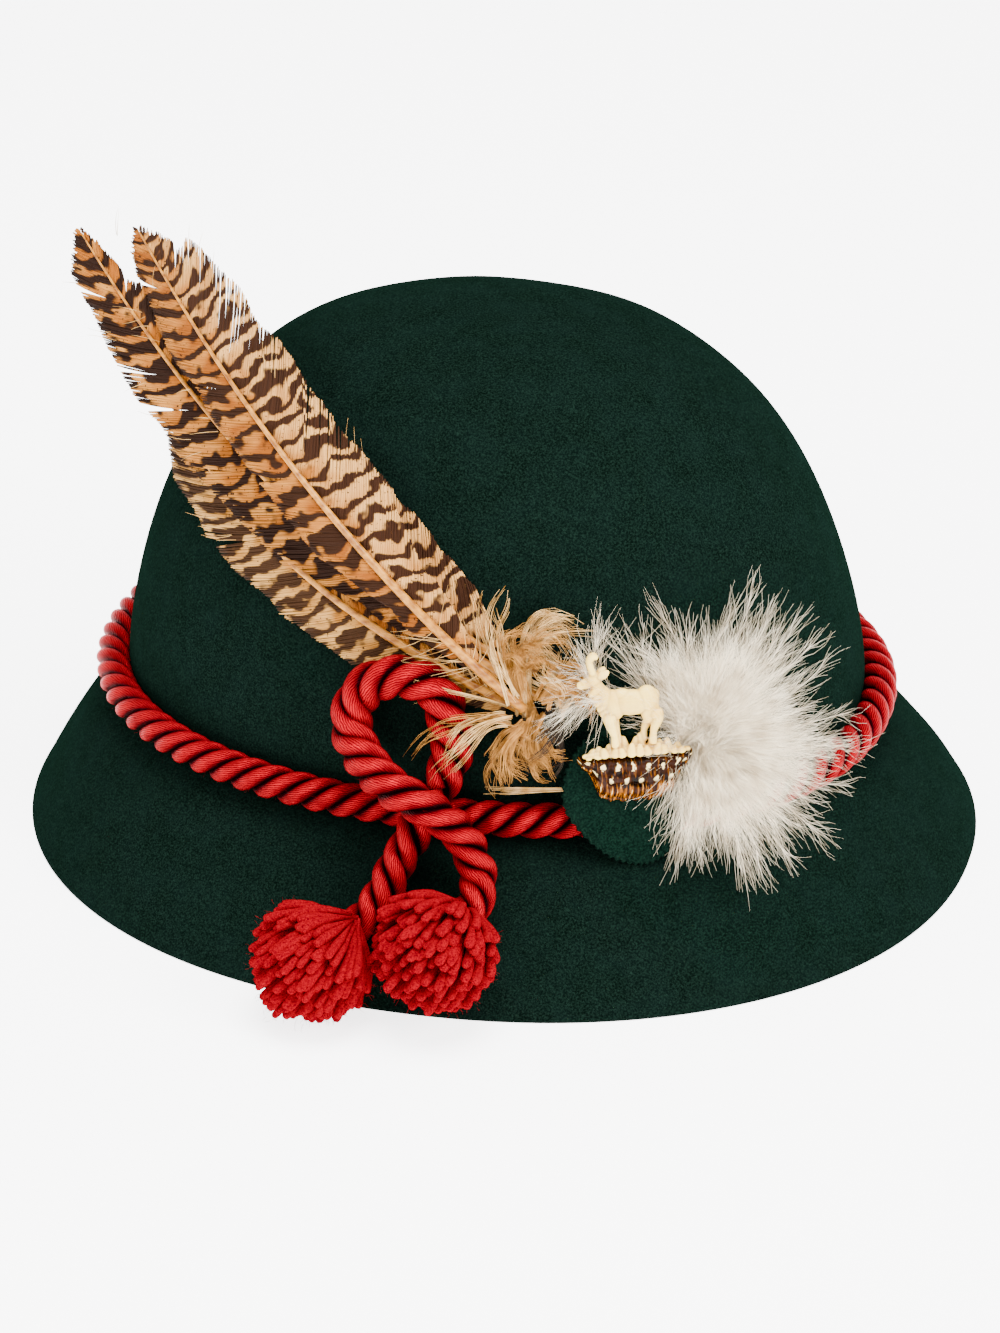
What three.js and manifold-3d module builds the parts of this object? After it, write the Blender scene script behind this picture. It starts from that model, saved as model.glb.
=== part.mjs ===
import * as THREE from 'three';
import { mergeVertices } from 'three/addons/utils/BufferGeometryUtils.js';
import Module from 'manifold-3d';

// A tyrolean hat of green felt with a twisted red cord, barred feathers, down tufts and a carved pin.
// Millimetres. X points to the front of the hat, Z up, and the trimmed side faces -Y.
// The hat stands on its brim edge at Z = 0.

// Felt: the head opening, the crown and the brim
const HEAD_LENGTH = 200;
const HEAD_WIDTH = 153;
const OVAL_POWER = 2.12;
const FELT = 2.5;
const WALL_RISE = 8;
const DOME_RISE = 105.5;
const DOME_SIDE_POWER = 3.1;
const DOME_TOP_POWER = 1.55;
const BAND_PINCH = 1.5;
const BRIM_DROP = 39;
const BRIM_FRONT = 34.5;
const BRIM_BACK = 29.5;
const BRIM_SIDE = 38;
const BRIM_CURL = 1.5;

// Red cord of three strands, and the wool pompoms on its ends
const CORD_DIAMETER = 9;
const CORD_PITCH = 23;
const STRANDS = 3;
const STRAND_VALLEY = 0.74;
const POMPOM_DIAMETER = 30;
const POMPOM_CORE_DIAMETER = 25.2;
const POMPOM_YARNS = 13;
const YARN_WIDTH = 6;
const YARN_TIP_WIDTH = 4.8;

// Feathers and down
const FEATHER_LENGTH = 200;
const VANE_WIDTH = 20;
const QUILL_THICKNESS = 1.7;
const VANE_DROOP = 1.2;
const DOWN_TUFT_WIDTH = 18;
const WHITE_TUFT_WIDTH = 24;

// Felt leaf and carved pin
const LEAF_WIDTH = 36;
const LEAF_HEIGHT = 42;
const LEAF_THICKNESS = 1.5;
const LEAF_TEETH = 22;
const LEAF_TOOTH_DEPTH = 1.2;
const LEAF_BACKSET = 2;
const LEAF_ABOVE_PIN = 7;
const PIN_ANGLE = -59;
const PIN_SHARE = 0.22;
const PIN_WIDTH = 31;
const PIN_BASE_HEIGHT = 13;
const PIN_BASE_DEPTH = 5.4;
const PIN_CHAMFER = 1;
const PIN_SCALLOPS = 9;
const GRASS_HEIGHT = 5;
const GRASS_DEPTH = 3.2;
const GRASS_INSET = 0.5;
const GRASS_BLADES = 11;
const FIGURE_HEIGHT = 26;
const LEG_WIDTH = 4.4;
const HOOF_WIDTH = 2;
const HORN_WIDTH = 1.7;
const EAR_WIDTH = 1.8;
const POINT_WIDTH = 0.75;

// Gap between pieces that touch, and what the channel of a cord has beyond it
const CLEARANCE = 0.3;
const CHANNEL_SLACK = 0.2;

// Mesh fineness
const FELT_SIDES = 40;
const BRIM_ROWS = 6;
const WALL_ROWS = 2;
const DOME_ROWS = 10;
const LAST_DOME_ROW = 0.979;
const WALL_SHARE = 0.06;
const BAND_POINTS = 360;
const CORD_SIDES = 8;
const CORD_STEP = 4;
const SECTIONS_PER_TWIST = 6;
const FEATHER_STATIONS = 20;
const FIGURE_SIDES = 7;
const FIGURE_ROWS = 5;
const MERGE_DISTANCE = 1e-4;

const wasm = await Module();
wasm.setup();

const radians = THREE.MathUtils.degToRad;
const vector = (x, y, z) => new THREE.Vector3(x, y, z);

// Closed body from rings of points, each ring joined to the next and both ends filled
function loft(rings, joined = false) {
  const sides = rings[0].length;
  const points = rings.flat();
  const faces = [];
  const last = joined ? rings.length : rings.length - 1;
  for (let row = 0; row < last; row += 1) {
    const next = (row + 1) % rings.length;
    for (let side = 0; side < sides; side += 1) {
      const turn = (side + 1) % sides;
      const a = row * sides + side;
      const b = row * sides + turn;
      const c = next * sides + turn;
      const d = next * sides + side;
      faces.push(a, b, c, a, c, d);
    }
  }
  if (!joined) {
    const top = points.length;
    points.push(middle(rings[0]), middle(rings[rings.length - 1]));
    const start = (rings.length - 1) * sides;
    for (let side = 0; side < sides; side += 1) {
      const turn = (side + 1) % sides;
      faces.push(top, turn, side);
      faces.push(top + 1, start + side, start + turn);
    }
  }
  return facingOut(points, faces);
}

function middle(ring) {
  const sum = vector(0, 0, 0);
  ring.forEach((point) => sum.add(point));
  return sum.divideScalar(ring.length);
}

// Geometry whose faces point out, whichever way the rings ran
function facingOut(points, faces) {
  let volume = 0;
  for (let i = 0; i < faces.length; i += 3) {
    const [a, b, c] = [points[faces[i]], points[faces[i + 1]], points[faces[i + 2]]];
    volume += a.dot(vector(0, 0, 0).crossVectors(b, c));
  }
  const order = volume < 0 ? faces.slice().reverse() : faces;
  const geometry = new THREE.BufferGeometry().setFromPoints(points);
  geometry.setIndex(order);
  geometry.computeVertexNormals();
  return geometry;
}

function toSolid(geometry) {
  const bare = geometry.clone();
  bare.deleteAttribute('normal');
  bare.deleteAttribute('uv');
  const merged = mergeVertices(bare, MERGE_DISTANCE);
  return new wasm.Manifold(new wasm.Mesh({
    numProp: 3,
    vertProperties: new Float32Array(merged.attributes.position.array),
    triVerts: new Uint32Array(merged.index.array),
  }));
}

function toGeometry(solid) {
  const mesh = solid.getMesh();
  const geometry = new THREE.BufferGeometry();
  geometry.setAttribute('position', new THREE.BufferAttribute(new Float32Array(mesh.vertProperties), 3));
  geometry.setIndex(new THREE.BufferAttribute(new Uint32Array(mesh.triVerts), 1));
  geometry.computeVertexNormals();
  return geometry;
}

function fused(geometries) {
  return geometries.map(toSolid).reduce((whole, piece) => whole.add(piece));
}

// Oval of the head: the two factors of a point at an angle from the front
function oval(angle) {
  const power = 2 / OVAL_POWER;
  const bend = (value) => Math.sign(value) * Math.abs(value) ** power;
  return [bend(Math.cos(angle)), bend(Math.sin(angle))];
}

const BAND_LENGTH = HEAD_LENGTH / 2 + FELT;
const BAND_WIDTH = HEAD_WIDTH / 2 + FELT;
const CENTRE_X = (BRIM_BACK - BRIM_FRONT) / 2;
const BAND_Z = BRIM_DROP;

// How far the wall leans out from the band at a share of its rise
function wallLean(climb) {
  return BAND_PINCH * (0.5 - 0.5 * Math.cos(Math.PI * Math.min(climb, 1)));
}

// Outer face of the felt. The share runs from -1 at the brim edge through 0 at the band to 1 on top.
function feltPoint(angle, share) {
  const [along, across] = oval(angle);
  if (share < 0) {
    const ends = (BRIM_FRONT + BRIM_BACK) / 2 + ((BRIM_FRONT - BRIM_BACK) / 2) * Math.cos(angle);
    const drop = BRIM_DROP * (-share) ** BRIM_CURL;
    return vector(
      CENTRE_X + (BAND_LENGTH - ends * share) * along,
      (BAND_WIDTH - BRIM_SIDE * share) * across,
      BAND_Z - drop,
    );
  }
  const climb = Math.min(share / WALL_SHARE, 1);
  const turn = (Math.max(share - WALL_SHARE, 0) / (1 - WALL_SHARE)) * (Math.PI / 2);
  const narrow = Math.cos(turn) ** (2 / DOME_SIDE_POWER);
  const rise = DOME_RISE * Math.sin(turn) ** (2 / DOME_TOP_POWER);
  return vector(
    CENTRE_X + (BAND_LENGTH + wallLean(climb)) * narrow * along,
    (BAND_WIDTH + wallLean(climb)) * narrow * across,
    BAND_Z + WALL_RISE * climb + rise,
  );
}

function feltNormal(angle, share) {
  const step = 0.01;
  const around = feltPoint(angle + step, share).sub(feltPoint(angle - step, share));
  const upper = Math.min(share + step, 1);
  const lower = Math.max(share - step, -1);
  const upward = feltPoint(angle, upper).sub(feltPoint(angle, lower));
  return around.cross(upward).normalize();
}

// Point that stands off the felt by a distance
function offFelt(angle, share, out) {
  return feltPoint(angle, share).addScaledVector(feltNormal(angle, share), out);
}

function feltShares() {
  const shares = [];
  for (let row = 0; row < BRIM_ROWS; row += 1) {
    shares.push(row / BRIM_ROWS - 1);
  }
  for (let row = 0; row < WALL_ROWS; row += 1) {
    shares.push((WALL_SHARE * row) / WALL_ROWS);
  }
  for (let row = 0; row <= DOME_ROWS; row += 1) {
    shares.push(WALL_SHARE + ((LAST_DOME_ROW - WALL_SHARE) * row) / DOME_ROWS);
  }
  return shares;
}

// Inner face of the felt. The cut edge stays level, and so does the middle of the crown.
function innerPoint(angle, share) {
  if (share === -1) {
    const normal = feltNormal(angle, share).setZ(0);
    return feltPoint(angle, share).addScaledVector(normal.clone().normalize(), -FELT / normal.length());
  }
  const point = offFelt(angle, share, -FELT);
  if (share >= LAST_DOME_ROW) {
    point.z = feltPoint(angle, share).z - FELT;
  }
  return point;
}

function feltBody() {
  const shares = feltShares();
  const ring = (share, place) => Array.from({ length: FELT_SIDES }, (_, side) => (
    place((side / FELT_SIDES) * 2 * Math.PI, share)));
  const outer = shares.map((share) => ring(share, feltPoint)).reverse();
  const inner = shares.map((share) => ring(share, innerPoint));
  return loft([...outer, ...inner]);
}

// Section of the twisted cord, with a lobe for each strand
function strandSection(centre, across, upward, twist) {
  const points = [];
  for (let corner = 0; corner < 2 * STRANDS; corner += 1) {
    const radius = (CORD_DIAMETER / 2) * (corner % 2 === 0 ? 1 : STRAND_VALLEY);
    const angle = twist + (corner * Math.PI) / STRANDS;
    points.push(centre.clone()
      .addScaledVector(across, radius * Math.cos(angle))
      .addScaledVector(upward, radius * Math.sin(angle)));
  }
  return points;
}

// The cord lies in the corner of brim and crown, against the wall that leans out above the band
const CORD_UP = CORD_DIAMETER / 2 + 1.5 * CLEARANCE;
const CORD_OUT = CORD_DIAMETER / 2 + 1.5 * CLEARANCE + wallLean(CORD_UP / WALL_RISE);

function bandCentre(angle) {
  const [along, across] = oval(angle);
  return vector(
    CENTRE_X + (BAND_LENGTH + CORD_OUT) * along,
    (BAND_WIDTH + CORD_OUT) * across,
    BAND_Z + CORD_UP,
  );
}

function cordBand() {
  const centres = Array.from({ length: BAND_POINTS }, (_, point) => (
    bandCentre((point / BAND_POINTS) * 2 * Math.PI)));
  const route = new THREE.CatmullRomCurve3(centres, true);
  const twists = Math.round(route.getLength() / CORD_PITCH);
  const count = twists * SECTIONS_PER_TWIST;
  const upward = vector(0, 0, 1);
  const rings = [];
  for (let section = 0; section < count; section += 1) {
    const share = section / count;
    const across = route.getTangentAt(share).cross(upward).normalize();
    const twist = share * twists * 2 * Math.PI;
    rings.push(strandSection(route.getPointAt(share), across, upward, twist));
  }
  return loft(rings, true);
}

// Routes of the two ends of the cord, from behind the crossing to the middle of each pompom
const LOOP_ROUTE = [
  [5, -88, 54], [7, -86, 58], [8, -84, 65], [6, -82, 73], [3, -81, 79], [-4, -81, 82], [-11, -81, 81],
  [-17, -81, 77], [-20, -83, 70], [-18, -87, 64], [-11, -94, 60], [-4, -99, 58], [3, -101, 56], [9, -100, 52],
  [14, -98, 46], [17, -98, 40], [19, -99, 34], [19, -105, 29], [16, -113, 26], [12, -120, 23],
];
const LEFT_ROUTE = [
  [4, -89, 53], [3, -91, 51], [2, -93, 49], [1, -95, 46], [0, -97, 43], [-1, -98, 40], [-3, -99, 37],
  [-4, -101, 34], [-5, -103, 31], [-7, -106, 27], [-9, -109, 24], [-12, -113, 22], [-15, -117, 20],
  [-18, -120, 18], [-20, -124, 17],
];

function routeCurve(route) {
  return new THREE.CatmullRomCurve3(route.map((point) => vector(...point)));
}

function cordTube(route, diameter) {
  const section = new THREE.Shape();
  for (let side = 0; side < CORD_SIDES; side += 1) {
    const angle = (side / CORD_SIDES) * 2 * Math.PI;
    const point = [(diameter / 2) * Math.cos(angle), (diameter / 2) * Math.sin(angle)];
    if (side === 0) {
      section.moveTo(...point);
    } else {
      section.lineTo(...point);
    }
  }
  const extrudePath = routeCurve(route);
  const steps = Math.round(extrudePath.getLength() / CORD_STEP);
  return new THREE.ExtrudeGeometry(section, { steps, extrudePath, bevelEnabled: false });
}

// Tapered lock of yarn, down or horn along a bent line
const LOCK_TURN = vector(0.31, 0.17, 0.93);

function lock(root, bend, tip, rootWidth, tipWidth, stations = 3) {
  const route = new THREE.QuadraticBezierCurve3(root, bend, tip);
  const rings = [];
  for (let station = 0; station < stations; station += 1) {
    const share = station / (stations - 1);
    const tangent = route.getTangent(share);
    const across = tangent.clone().cross(LOCK_TURN).normalize();
    const other = tangent.clone().cross(across).normalize();
    const radius = (rootWidth + (tipWidth - rootWidth) * share) / 2;
    const centre = route.getPoint(share);
    rings.push([across, other, across.clone().negate(), other.clone().negate()]
      .map((side) => centre.clone().addScaledVector(side, radius)));
  }
  return loft(rings);
}

// The main body of a solid, without slivers that a cut sets free
function largestBody(solid) {
  return solid.decompose().reduce((most, body) => (body.volume() > most.volume() ? body : most));
}

// Directions spread evenly over a ball
function ballDirection(index, count) {
  const height = 1 - (2 * index + 1) / count;
  const angle = index * Math.PI * (3 - Math.sqrt(5));
  const radius = Math.sqrt(1 - height * height);
  return vector(radius * Math.cos(angle), radius * Math.sin(angle), height);
}

// Wool pompom on the end of a cord, which runs into its middle
function pompom(route) {
  const centre = vector(...route[route.length - 1]);
  const core = new THREE.IcosahedronGeometry(POMPOM_CORE_DIAMETER / 2, 1).translate(...centre);
  const yarns = [core];
  for (let index = 0; index < POMPOM_YARNS; index += 1) {
    const direction = ballDirection(index, POMPOM_YARNS);
    const root = centre.clone().addScaledVector(direction, POMPOM_CORE_DIAMETER / 2 - YARN_WIDTH / 2);
    const tip = centre.clone().addScaledVector(direction, POMPOM_DIAMETER / 2);
    yarns.push(lock(root, middle([root, tip]), tip, YARN_WIDTH, YARN_TIP_WIDTH, 2));
  }
  const end = new THREE.SphereGeometry(CORD_DIAMETER / 2 + 3 * CLEARANCE, 8, 6).translate(...centre);
  const channel = toSolid(cordTube(route, CORD_DIAMETER + 2 * (CLEARANCE + CHANNEL_SLACK)));
  const bored = fused(yarns).subtract(channel).subtract(toSolid(end));
  return toGeometry(largestBody(bored));
}

// Frame on the felt: X runs forward round the hat, Y up and Z out
function seat(angle, share, out) {
  const normal = feltNormal(angle, share);
  const upward = vector(0, 0, 1).addScaledVector(normal, -normal.z).normalize();
  const forward = upward.clone().cross(normal).normalize();
  return new THREE.Matrix4().makeBasis(forward, upward, normal).setPosition(offFelt(angle, share, out));
}

// Feathers: the tip and the bow are measured from the root as shares of the longest feather, the vane on
// each side as a share of the full width, and the layer counts the quills that lie under the root
const FEATHERS = [
  { name: 'feather_front', angle: -75, share: 0.285, layer: 4.25, back: 0.67, inward: 0.45, up: 0.43,
    bow: [0.045, -0.295, 0.065], lower: 0.5, upper: 0.85, bare: 0.3, face: [-0.3, -0.75, 0.6] },
  { name: 'feather_back', angle: -72.8, share: 0.3, layer: 2.3, back: 0.775, inward: 0.44, up: 0.405,
    bow: [0.02, -0.235, -0.015], lower: 0.65, upper: 0.4, bare: 0.36, face: [-0.3, -0.75, 0.6] },
  { name: 'feather_low', angle: -74, share: 0.265, layer: 0.75, back: 0.58, inward: 0.29, up: 0.255,
    bow: [-0.095, -0.185, 0.04], lower: 0.6, upper: 0.2, bare: 0.3, face: [-0.35, -0.75, 0.5] },
  { name: 'feather_short', angle: -73.1, share: 0.335, layer: 0.5, back: 0.31, inward: 0.085, up: 0.23,
    bow: [0.03, -0.08, -0.08], lower: 0.1, upper: 0.65, bare: 0.25, face: [-0.3, -0.75, 0.6] },
];
const SPLITS = [9, 14];
const SPLIT_WIDTH = 0.72;
const QUILL_TAPER = 0.7;
const BARE_VANE = 1.3;
const VANE_SHOULDER = 0.22;
const SHOULDER_POWER = 0.7;
const VANE_TIP_POWER = 5;

// Width of the vane as a share of its full width: bare quill, broad blade, rounded tip
function vaneShare(share, bare) {
  if (share < bare) {
    return 0;
  }
  const along = (share - bare) / (1 - bare);
  const shoulder = Math.min(1, along / VANE_SHOULDER) ** SHOULDER_POWER;
  return shoulder * Math.sqrt(Math.max(0, 1 - along ** VANE_TIP_POWER));
}

function feather(shape) {
  const angle = radians(shape.angle);
  const root = offFelt(angle, shape.share, CLEARANCE + QUILL_THICKNESS * shape.layer);
  const tip = root.clone().addScaledVector(vector(-shape.back, shape.inward, shape.up), FEATHER_LENGTH);
  const bend = middle([root, tip]).addScaledVector(vector(...shape.bow), FEATHER_LENGTH);
  const route = new THREE.QuadraticBezierCurve3(root, bend, tip);
  const rootFace = feltNormal(angle, shape.share);
  const tipFace = vector(...shape.face);
  const rings = [];
  for (let station = 0; station <= FEATHER_STATIONS; station += 1) {
    const share = station / FEATHER_STATIONS;
    const tangent = route.getTangent(share);
    const face = rootFace.clone().lerp(tipFace, share);
    face.addScaledVector(tangent, -face.dot(tangent)).normalize();
    const across = tangent.clone().cross(face).normalize();
    const quill = (QUILL_THICKNESS / 2) * (1 - QUILL_TAPER * share);
    const split = SPLITS.includes(station) ? SPLIT_WIDTH : 1;
    const blade = VANE_WIDTH * vaneShare(share, shape.bare) * split;
    const upper = Math.max(quill * BARE_VANE, shape.upper * blade);
    const lower = Math.max(quill * BARE_VANE, shape.lower * blade);
    const centre = route.getPoint(share);
    const place = (side, height) => (
      centre.clone().addScaledVector(across, side).addScaledVector(face, height));
    const widest = VANE_WIDTH * Math.max(shape.upper, shape.lower);
    const droop = (width) => -VANE_DROOP * (width / widest) ** 2;
    rings.push([
      place(upper, droop(upper)),
      place(quill, quill),
      place(-quill, quill),
      place(-lower, droop(lower)),
      place(-quill, -quill),
      place(quill, -quill),
    ]);
  }
  return loft(rings);
}

// Tufts: a flat head on the felt, and locks that end along a rim. All but the angles and the places on the
// felt are shares of the head's width.
const DOWN_TUFT = {
  width: DOWN_TUFT_WIDTH, angle: -66.3, share: 0.29, height: 0.89, depth: 0.53, locks: 13, rootWidth: 0.28,
  tipWidth: 0.09, lift: 0.11, rise: 0.33,
  rim: [
    { angle: -63, share: 0.44, out: 0.22 },
    { angle: -72, share: 0.46, out: 0.39 },
    { angle: -81, share: 0.44, out: 0.72 },
    { angle: -87, share: 0.38, out: 0.83 },
    { angle: -83, share: 0.29, out: 0.78 },
    { angle: -79, share: 0.2, out: 0.56 },
    { angle: -76, share: 0.15, out: 0.33 },
  ],
};
const WHITE_TUFT = {
  width: WHITE_TUFT_WIDTH, angle: -37, share: 0.22, height: 1.08, depth: 0.57, locks: 19, rootWidth: 0.33,
  tipWidth: 0.11, lift: 0.21, rise: 0,
  rim: [
    { angle: -57, share: 0.46, out: 0.19 },
    { angle: -44, share: 0.47, out: 0.21 },
    { angle: -30, share: 0.43, out: 0.25 },
    { angle: -17, share: 0.33, out: 0.29 },
    { angle: -10, share: 0.2, out: 0.38 },
    { angle: -14, share: 0.06, out: 0.54 },
    { angle: -24, share: -0.2, out: 0.33 },
    { angle: -36, share: -0.45, out: 0.21 },
    { angle: -46, share: -0.5, out: 0.21 },
  ],
};
const LOCK_START = 0.12;
const SHORT_LOCK = 0.74;
const SHORT_LIFT = 0.8;

function tuft(shape) {
  const angle = radians(shape.angle);
  const frame = seat(angle, shape.share, (shape.depth * shape.width) / 2 + CLEARANCE);
  const outward = feltNormal(angle, shape.share).multiplyScalar(shape.width);
  const centre = vector(0, 0, 0).applyMatrix4(frame);
  const head = new THREE.SphereGeometry(shape.width / 2, 12, 8)
    .scale(1, shape.height, shape.depth)
    .applyMatrix4(frame);
  const rim = new THREE.CatmullRomCurve3(shape.rim.map((row) => (
    offFelt(radians(row.angle), row.share, row.out * shape.width))));
  const locks = [head];
  for (let index = 0; index < shape.locks; index += 1) {
    const end = rim.getPoint(index / (shape.locks - 1));
    const root = centre.clone().lerp(end, LOCK_START).addScaledVector(outward, shape.rise);
    const shorter = index % 2 === 1;
    const reach = root.clone().lerp(end, SHORT_LOCK).addScaledVector(outward, shape.lift * SHORT_LIFT);
    const tip = shorter ? reach : end;
    const bend = middle([root, tip]).addScaledVector(outward, shape.lift);
    locks.push(lock(root, bend, tip, shape.rootWidth * shape.width, shape.tipWidth * shape.width));
  }
  return toGeometry(fused(locks));
}

// The leaf, the base and the figure share one frame, whose origin is the middle of the base's top edge.
// The leaf lies on the cord, the base on the leaf, and the figure stands over the middle of the base.
const PIN_TURN = radians(PIN_ANGLE);

function cordStandOff() {
  const normal = feltNormal(PIN_TURN, PIN_SHARE);
  const origin = feltPoint(PIN_TURN, PIN_SHARE);
  const heights = Array.from({ length: BAND_POINTS }, (_, point) => (
    bandCentre((point / BAND_POINTS) * 2 * Math.PI).sub(origin).dot(normal)));
  return Math.max(...heights) + CORD_DIAMETER / 2;
}

const LEAF_OUT = cordStandOff() + CLEARANCE;
const BASE_OUT = LEAF_OUT + LEAF_THICKNESS + CLEARANCE;
const FIGURE_OUT = BASE_OUT + PIN_BASE_DEPTH / 2;
const LEAF_TAPER = 0.22;

// Shield of felt with a pinked edge
function feltLeaf() {
  const outline = new THREE.Shape();
  for (let corner = 0; corner < 2 * LEAF_TEETH; corner += 1) {
    const angle = (corner / LEAF_TEETH) * Math.PI;
    const tooth = corner % 2 === 0 ? 0 : -LEAF_TOOTH_DEPTH;
    const taper = 1 - LEAF_TAPER * Math.max(0, -Math.sin(angle));
    const x = (LEAF_WIDTH / 2 + tooth) * Math.cos(angle) * taper - LEAF_BACKSET;
    const y = LEAF_ABOVE_PIN - LEAF_HEIGHT / 2 + (LEAF_HEIGHT / 2 + tooth) * Math.sin(angle);
    if (corner === 0) {
      outline.moveTo(x, y);
    } else {
      outline.lineTo(x, y);
    }
  }
  return new THREE.ExtrudeGeometry(outline, { depth: LEAF_THICKNESS, bevelEnabled: false })
    .applyMatrix4(seat(PIN_TURN, PIN_SHARE, LEAF_OUT));
}

// Boat-shaped base with a straight top and a scalloped keel
const SCALLOP_SHARE = 0.93;

function pinBase() {
  const outline = new THREE.Shape();
  const half = PIN_WIDTH / 2 - PIN_CHAMFER;
  outline.moveTo(half, -PIN_CHAMFER);
  outline.lineTo(-half, -PIN_CHAMFER);
  for (let corner = 1; corner < 2 * PIN_SCALLOPS; corner += 1) {
    const angle = Math.PI * (1 + corner / (2 * PIN_SCALLOPS));
    const depth = (PIN_BASE_HEIGHT - 2 * PIN_CHAMFER) * (corner % 2 === 0 ? 1 : SCALLOP_SHARE);
    outline.lineTo(half * Math.cos(angle), depth * Math.sin(angle) - PIN_CHAMFER);
  }
  return new THREE.ExtrudeGeometry(outline, {
    depth: PIN_BASE_DEPTH - 2 * PIN_CHAMFER,
    bevelEnabled: true,
    bevelSegments: 1,
    bevelSize: PIN_CHAMFER,
    bevelThickness: PIN_CHAMFER,
  }).translate(0, 0, PIN_CHAMFER).applyMatrix4(seat(PIN_TURN, PIN_SHARE, BASE_OUT));
}

// Rounded forms of the goat, as shares of its height: middle, half sizes and tilt in degrees
const FIGURE_FORMS = [
  { form: 'body', x: -0.02, y: 0.54, z: 0, long: 0.25, high: 0.14, wide: 0.1, tilt: -4 },
  { form: 'rump', x: 0.16, y: 0.53, z: 0, long: 0.12, high: 0.15, wide: 0.095, tilt: 0 },
  { form: 'chest', x: -0.19, y: 0.58, z: 0, long: 0.12, high: 0.16, wide: 0.09, tilt: 15 },
  { form: 'neck', x: -0.26, y: 0.7, z: 0, long: 0.09, high: 0.16, wide: 0.065, tilt: 25 },
  { form: 'head', x: -0.34, y: 0.83, z: 0, long: 0.1, high: 0.07, wide: 0.055, tilt: 30 },
  { form: 'tail', x: 0.28, y: 0.58, z: 0, long: 0.04, high: 0.05, wide: 0.03, tilt: 20 },
];
const LEGS = [
  { leg: 'front near', hip: -0.17, hoof: -0.2, z: 0.05 },
  { leg: 'front far', hip: -0.12, hoof: -0.11, z: -0.05 },
  { leg: 'hind near', hip: 0.17, hoof: 0.16, z: 0.05 },
  { leg: 'hind far', hip: 0.2, hoof: 0.25, z: -0.05 },
];
const LEG_TOP = 0.5;
const HORN = { root: [-0.32, 0.87, 0.025], bend: [-0.34, 1.16, 0.05], tip: [-0.23, 1.08, 0.07] };
const EAR = { root: [-0.28, 0.85, 0.04], tip: [-0.18, 0.9, 0.1] };
const GRASS_ARCH_POWER = 0.6;
const GRASS_NOTCH = 0.6;

function figureForm(row) {
  return new THREE.SphereGeometry(FIGURE_HEIGHT, FIGURE_SIDES, FIGURE_ROWS)
    .scale(row.long, row.high, row.wide)
    .rotateZ(radians(row.tilt))
    .translate(row.x * FIGURE_HEIGHT, row.y * FIGURE_HEIGHT, row.z * FIGURE_HEIGHT);
}

function figurePoint(x, y, z) {
  return vector(x, y, z).multiplyScalar(FIGURE_HEIGHT);
}

function figureLeg(row) {
  const hip = figurePoint(row.hip, LEG_TOP, row.z);
  const hoof = figurePoint(row.hoof, 0, row.z).setY(GRASS_HEIGHT / 2);
  return lock(hip, middle([hip, hoof]), hoof, LEG_WIDTH, HOOF_WIDTH);
}

function hornAndEar(side) {
  const [root, bend, tip] = [HORN.root, HORN.bend, HORN.tip].map(([x, y, z]) => figurePoint(x, y, side * z));
  const [earRoot, earTip] = [EAR.root, EAR.tip].map(([x, y, z]) => figurePoint(x, y, side * z));
  return [
    lock(root, bend, tip, HORN_WIDTH, POINT_WIDTH, 4),
    lock(earRoot, middle([earRoot, earTip]), earTip, EAR_WIDTH, POINT_WIDTH, 2),
  ];
}

// Strip of grass under the hooves, highest in the middle
function grass() {
  const outline = new THREE.Shape();
  const half = PIN_WIDTH / 2 - GRASS_INSET;
  outline.moveTo(-half, CLEARANCE);
  outline.lineTo(half, CLEARANCE);
  for (let blade = GRASS_BLADES; blade > 0; blade -= 1) {
    const share = (blade - 0.5) / GRASS_BLADES;
    const height = GRASS_HEIGHT * Math.sin(share * Math.PI) ** GRASS_ARCH_POWER;
    const x = half * (2 * share - 1);
    outline.lineTo(x, CLEARANCE + height);
    if (blade > 1) {
      outline.lineTo(x - half / GRASS_BLADES, CLEARANCE + height * GRASS_NOTCH);
    }
  }
  return new THREE.ExtrudeGeometry(outline, { depth: GRASS_DEPTH, bevelEnabled: false })
    .translate(0, 0, -GRASS_DEPTH / 2);
}

function chamois() {
  const pieces = [
    grass(),
    ...FIGURE_FORMS.map(figureForm),
    ...LEGS.map(figureLeg),
    ...hornAndEar(1),
    ...hornAndEar(-1),
  ];
  return toGeometry(fused(pieces)).applyMatrix4(seat(PIN_TURN, PIN_SHARE, FIGURE_OUT));
}

const material = (color, roughness, metalness = 0) => (
  new THREE.MeshStandardMaterial({ color, roughness, metalness, flatShading: true }));
const greenFelt = material(0x12301f, 0.95);
const redCord = material(0xc8101c, 0.55);
const redWool = material(0xc4121a, 0.9);
const barredFeather = material(0xb98552, 0.6);
const tanDown = material(0xc9b8a0, 0.9);
const whiteDown = material(0xe6ddd6, 0.9);
const ivoryPlastic = material(0xf1e4bd, 0.4);
const brownPlastic = material(0x6b3a16, 0.25);

const group = new THREE.Group();

function addPiece(name, geometry, finish) {
  const mesh = new THREE.Mesh(geometry, finish);
  mesh.name = name;
  group.add(mesh);
}

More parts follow.
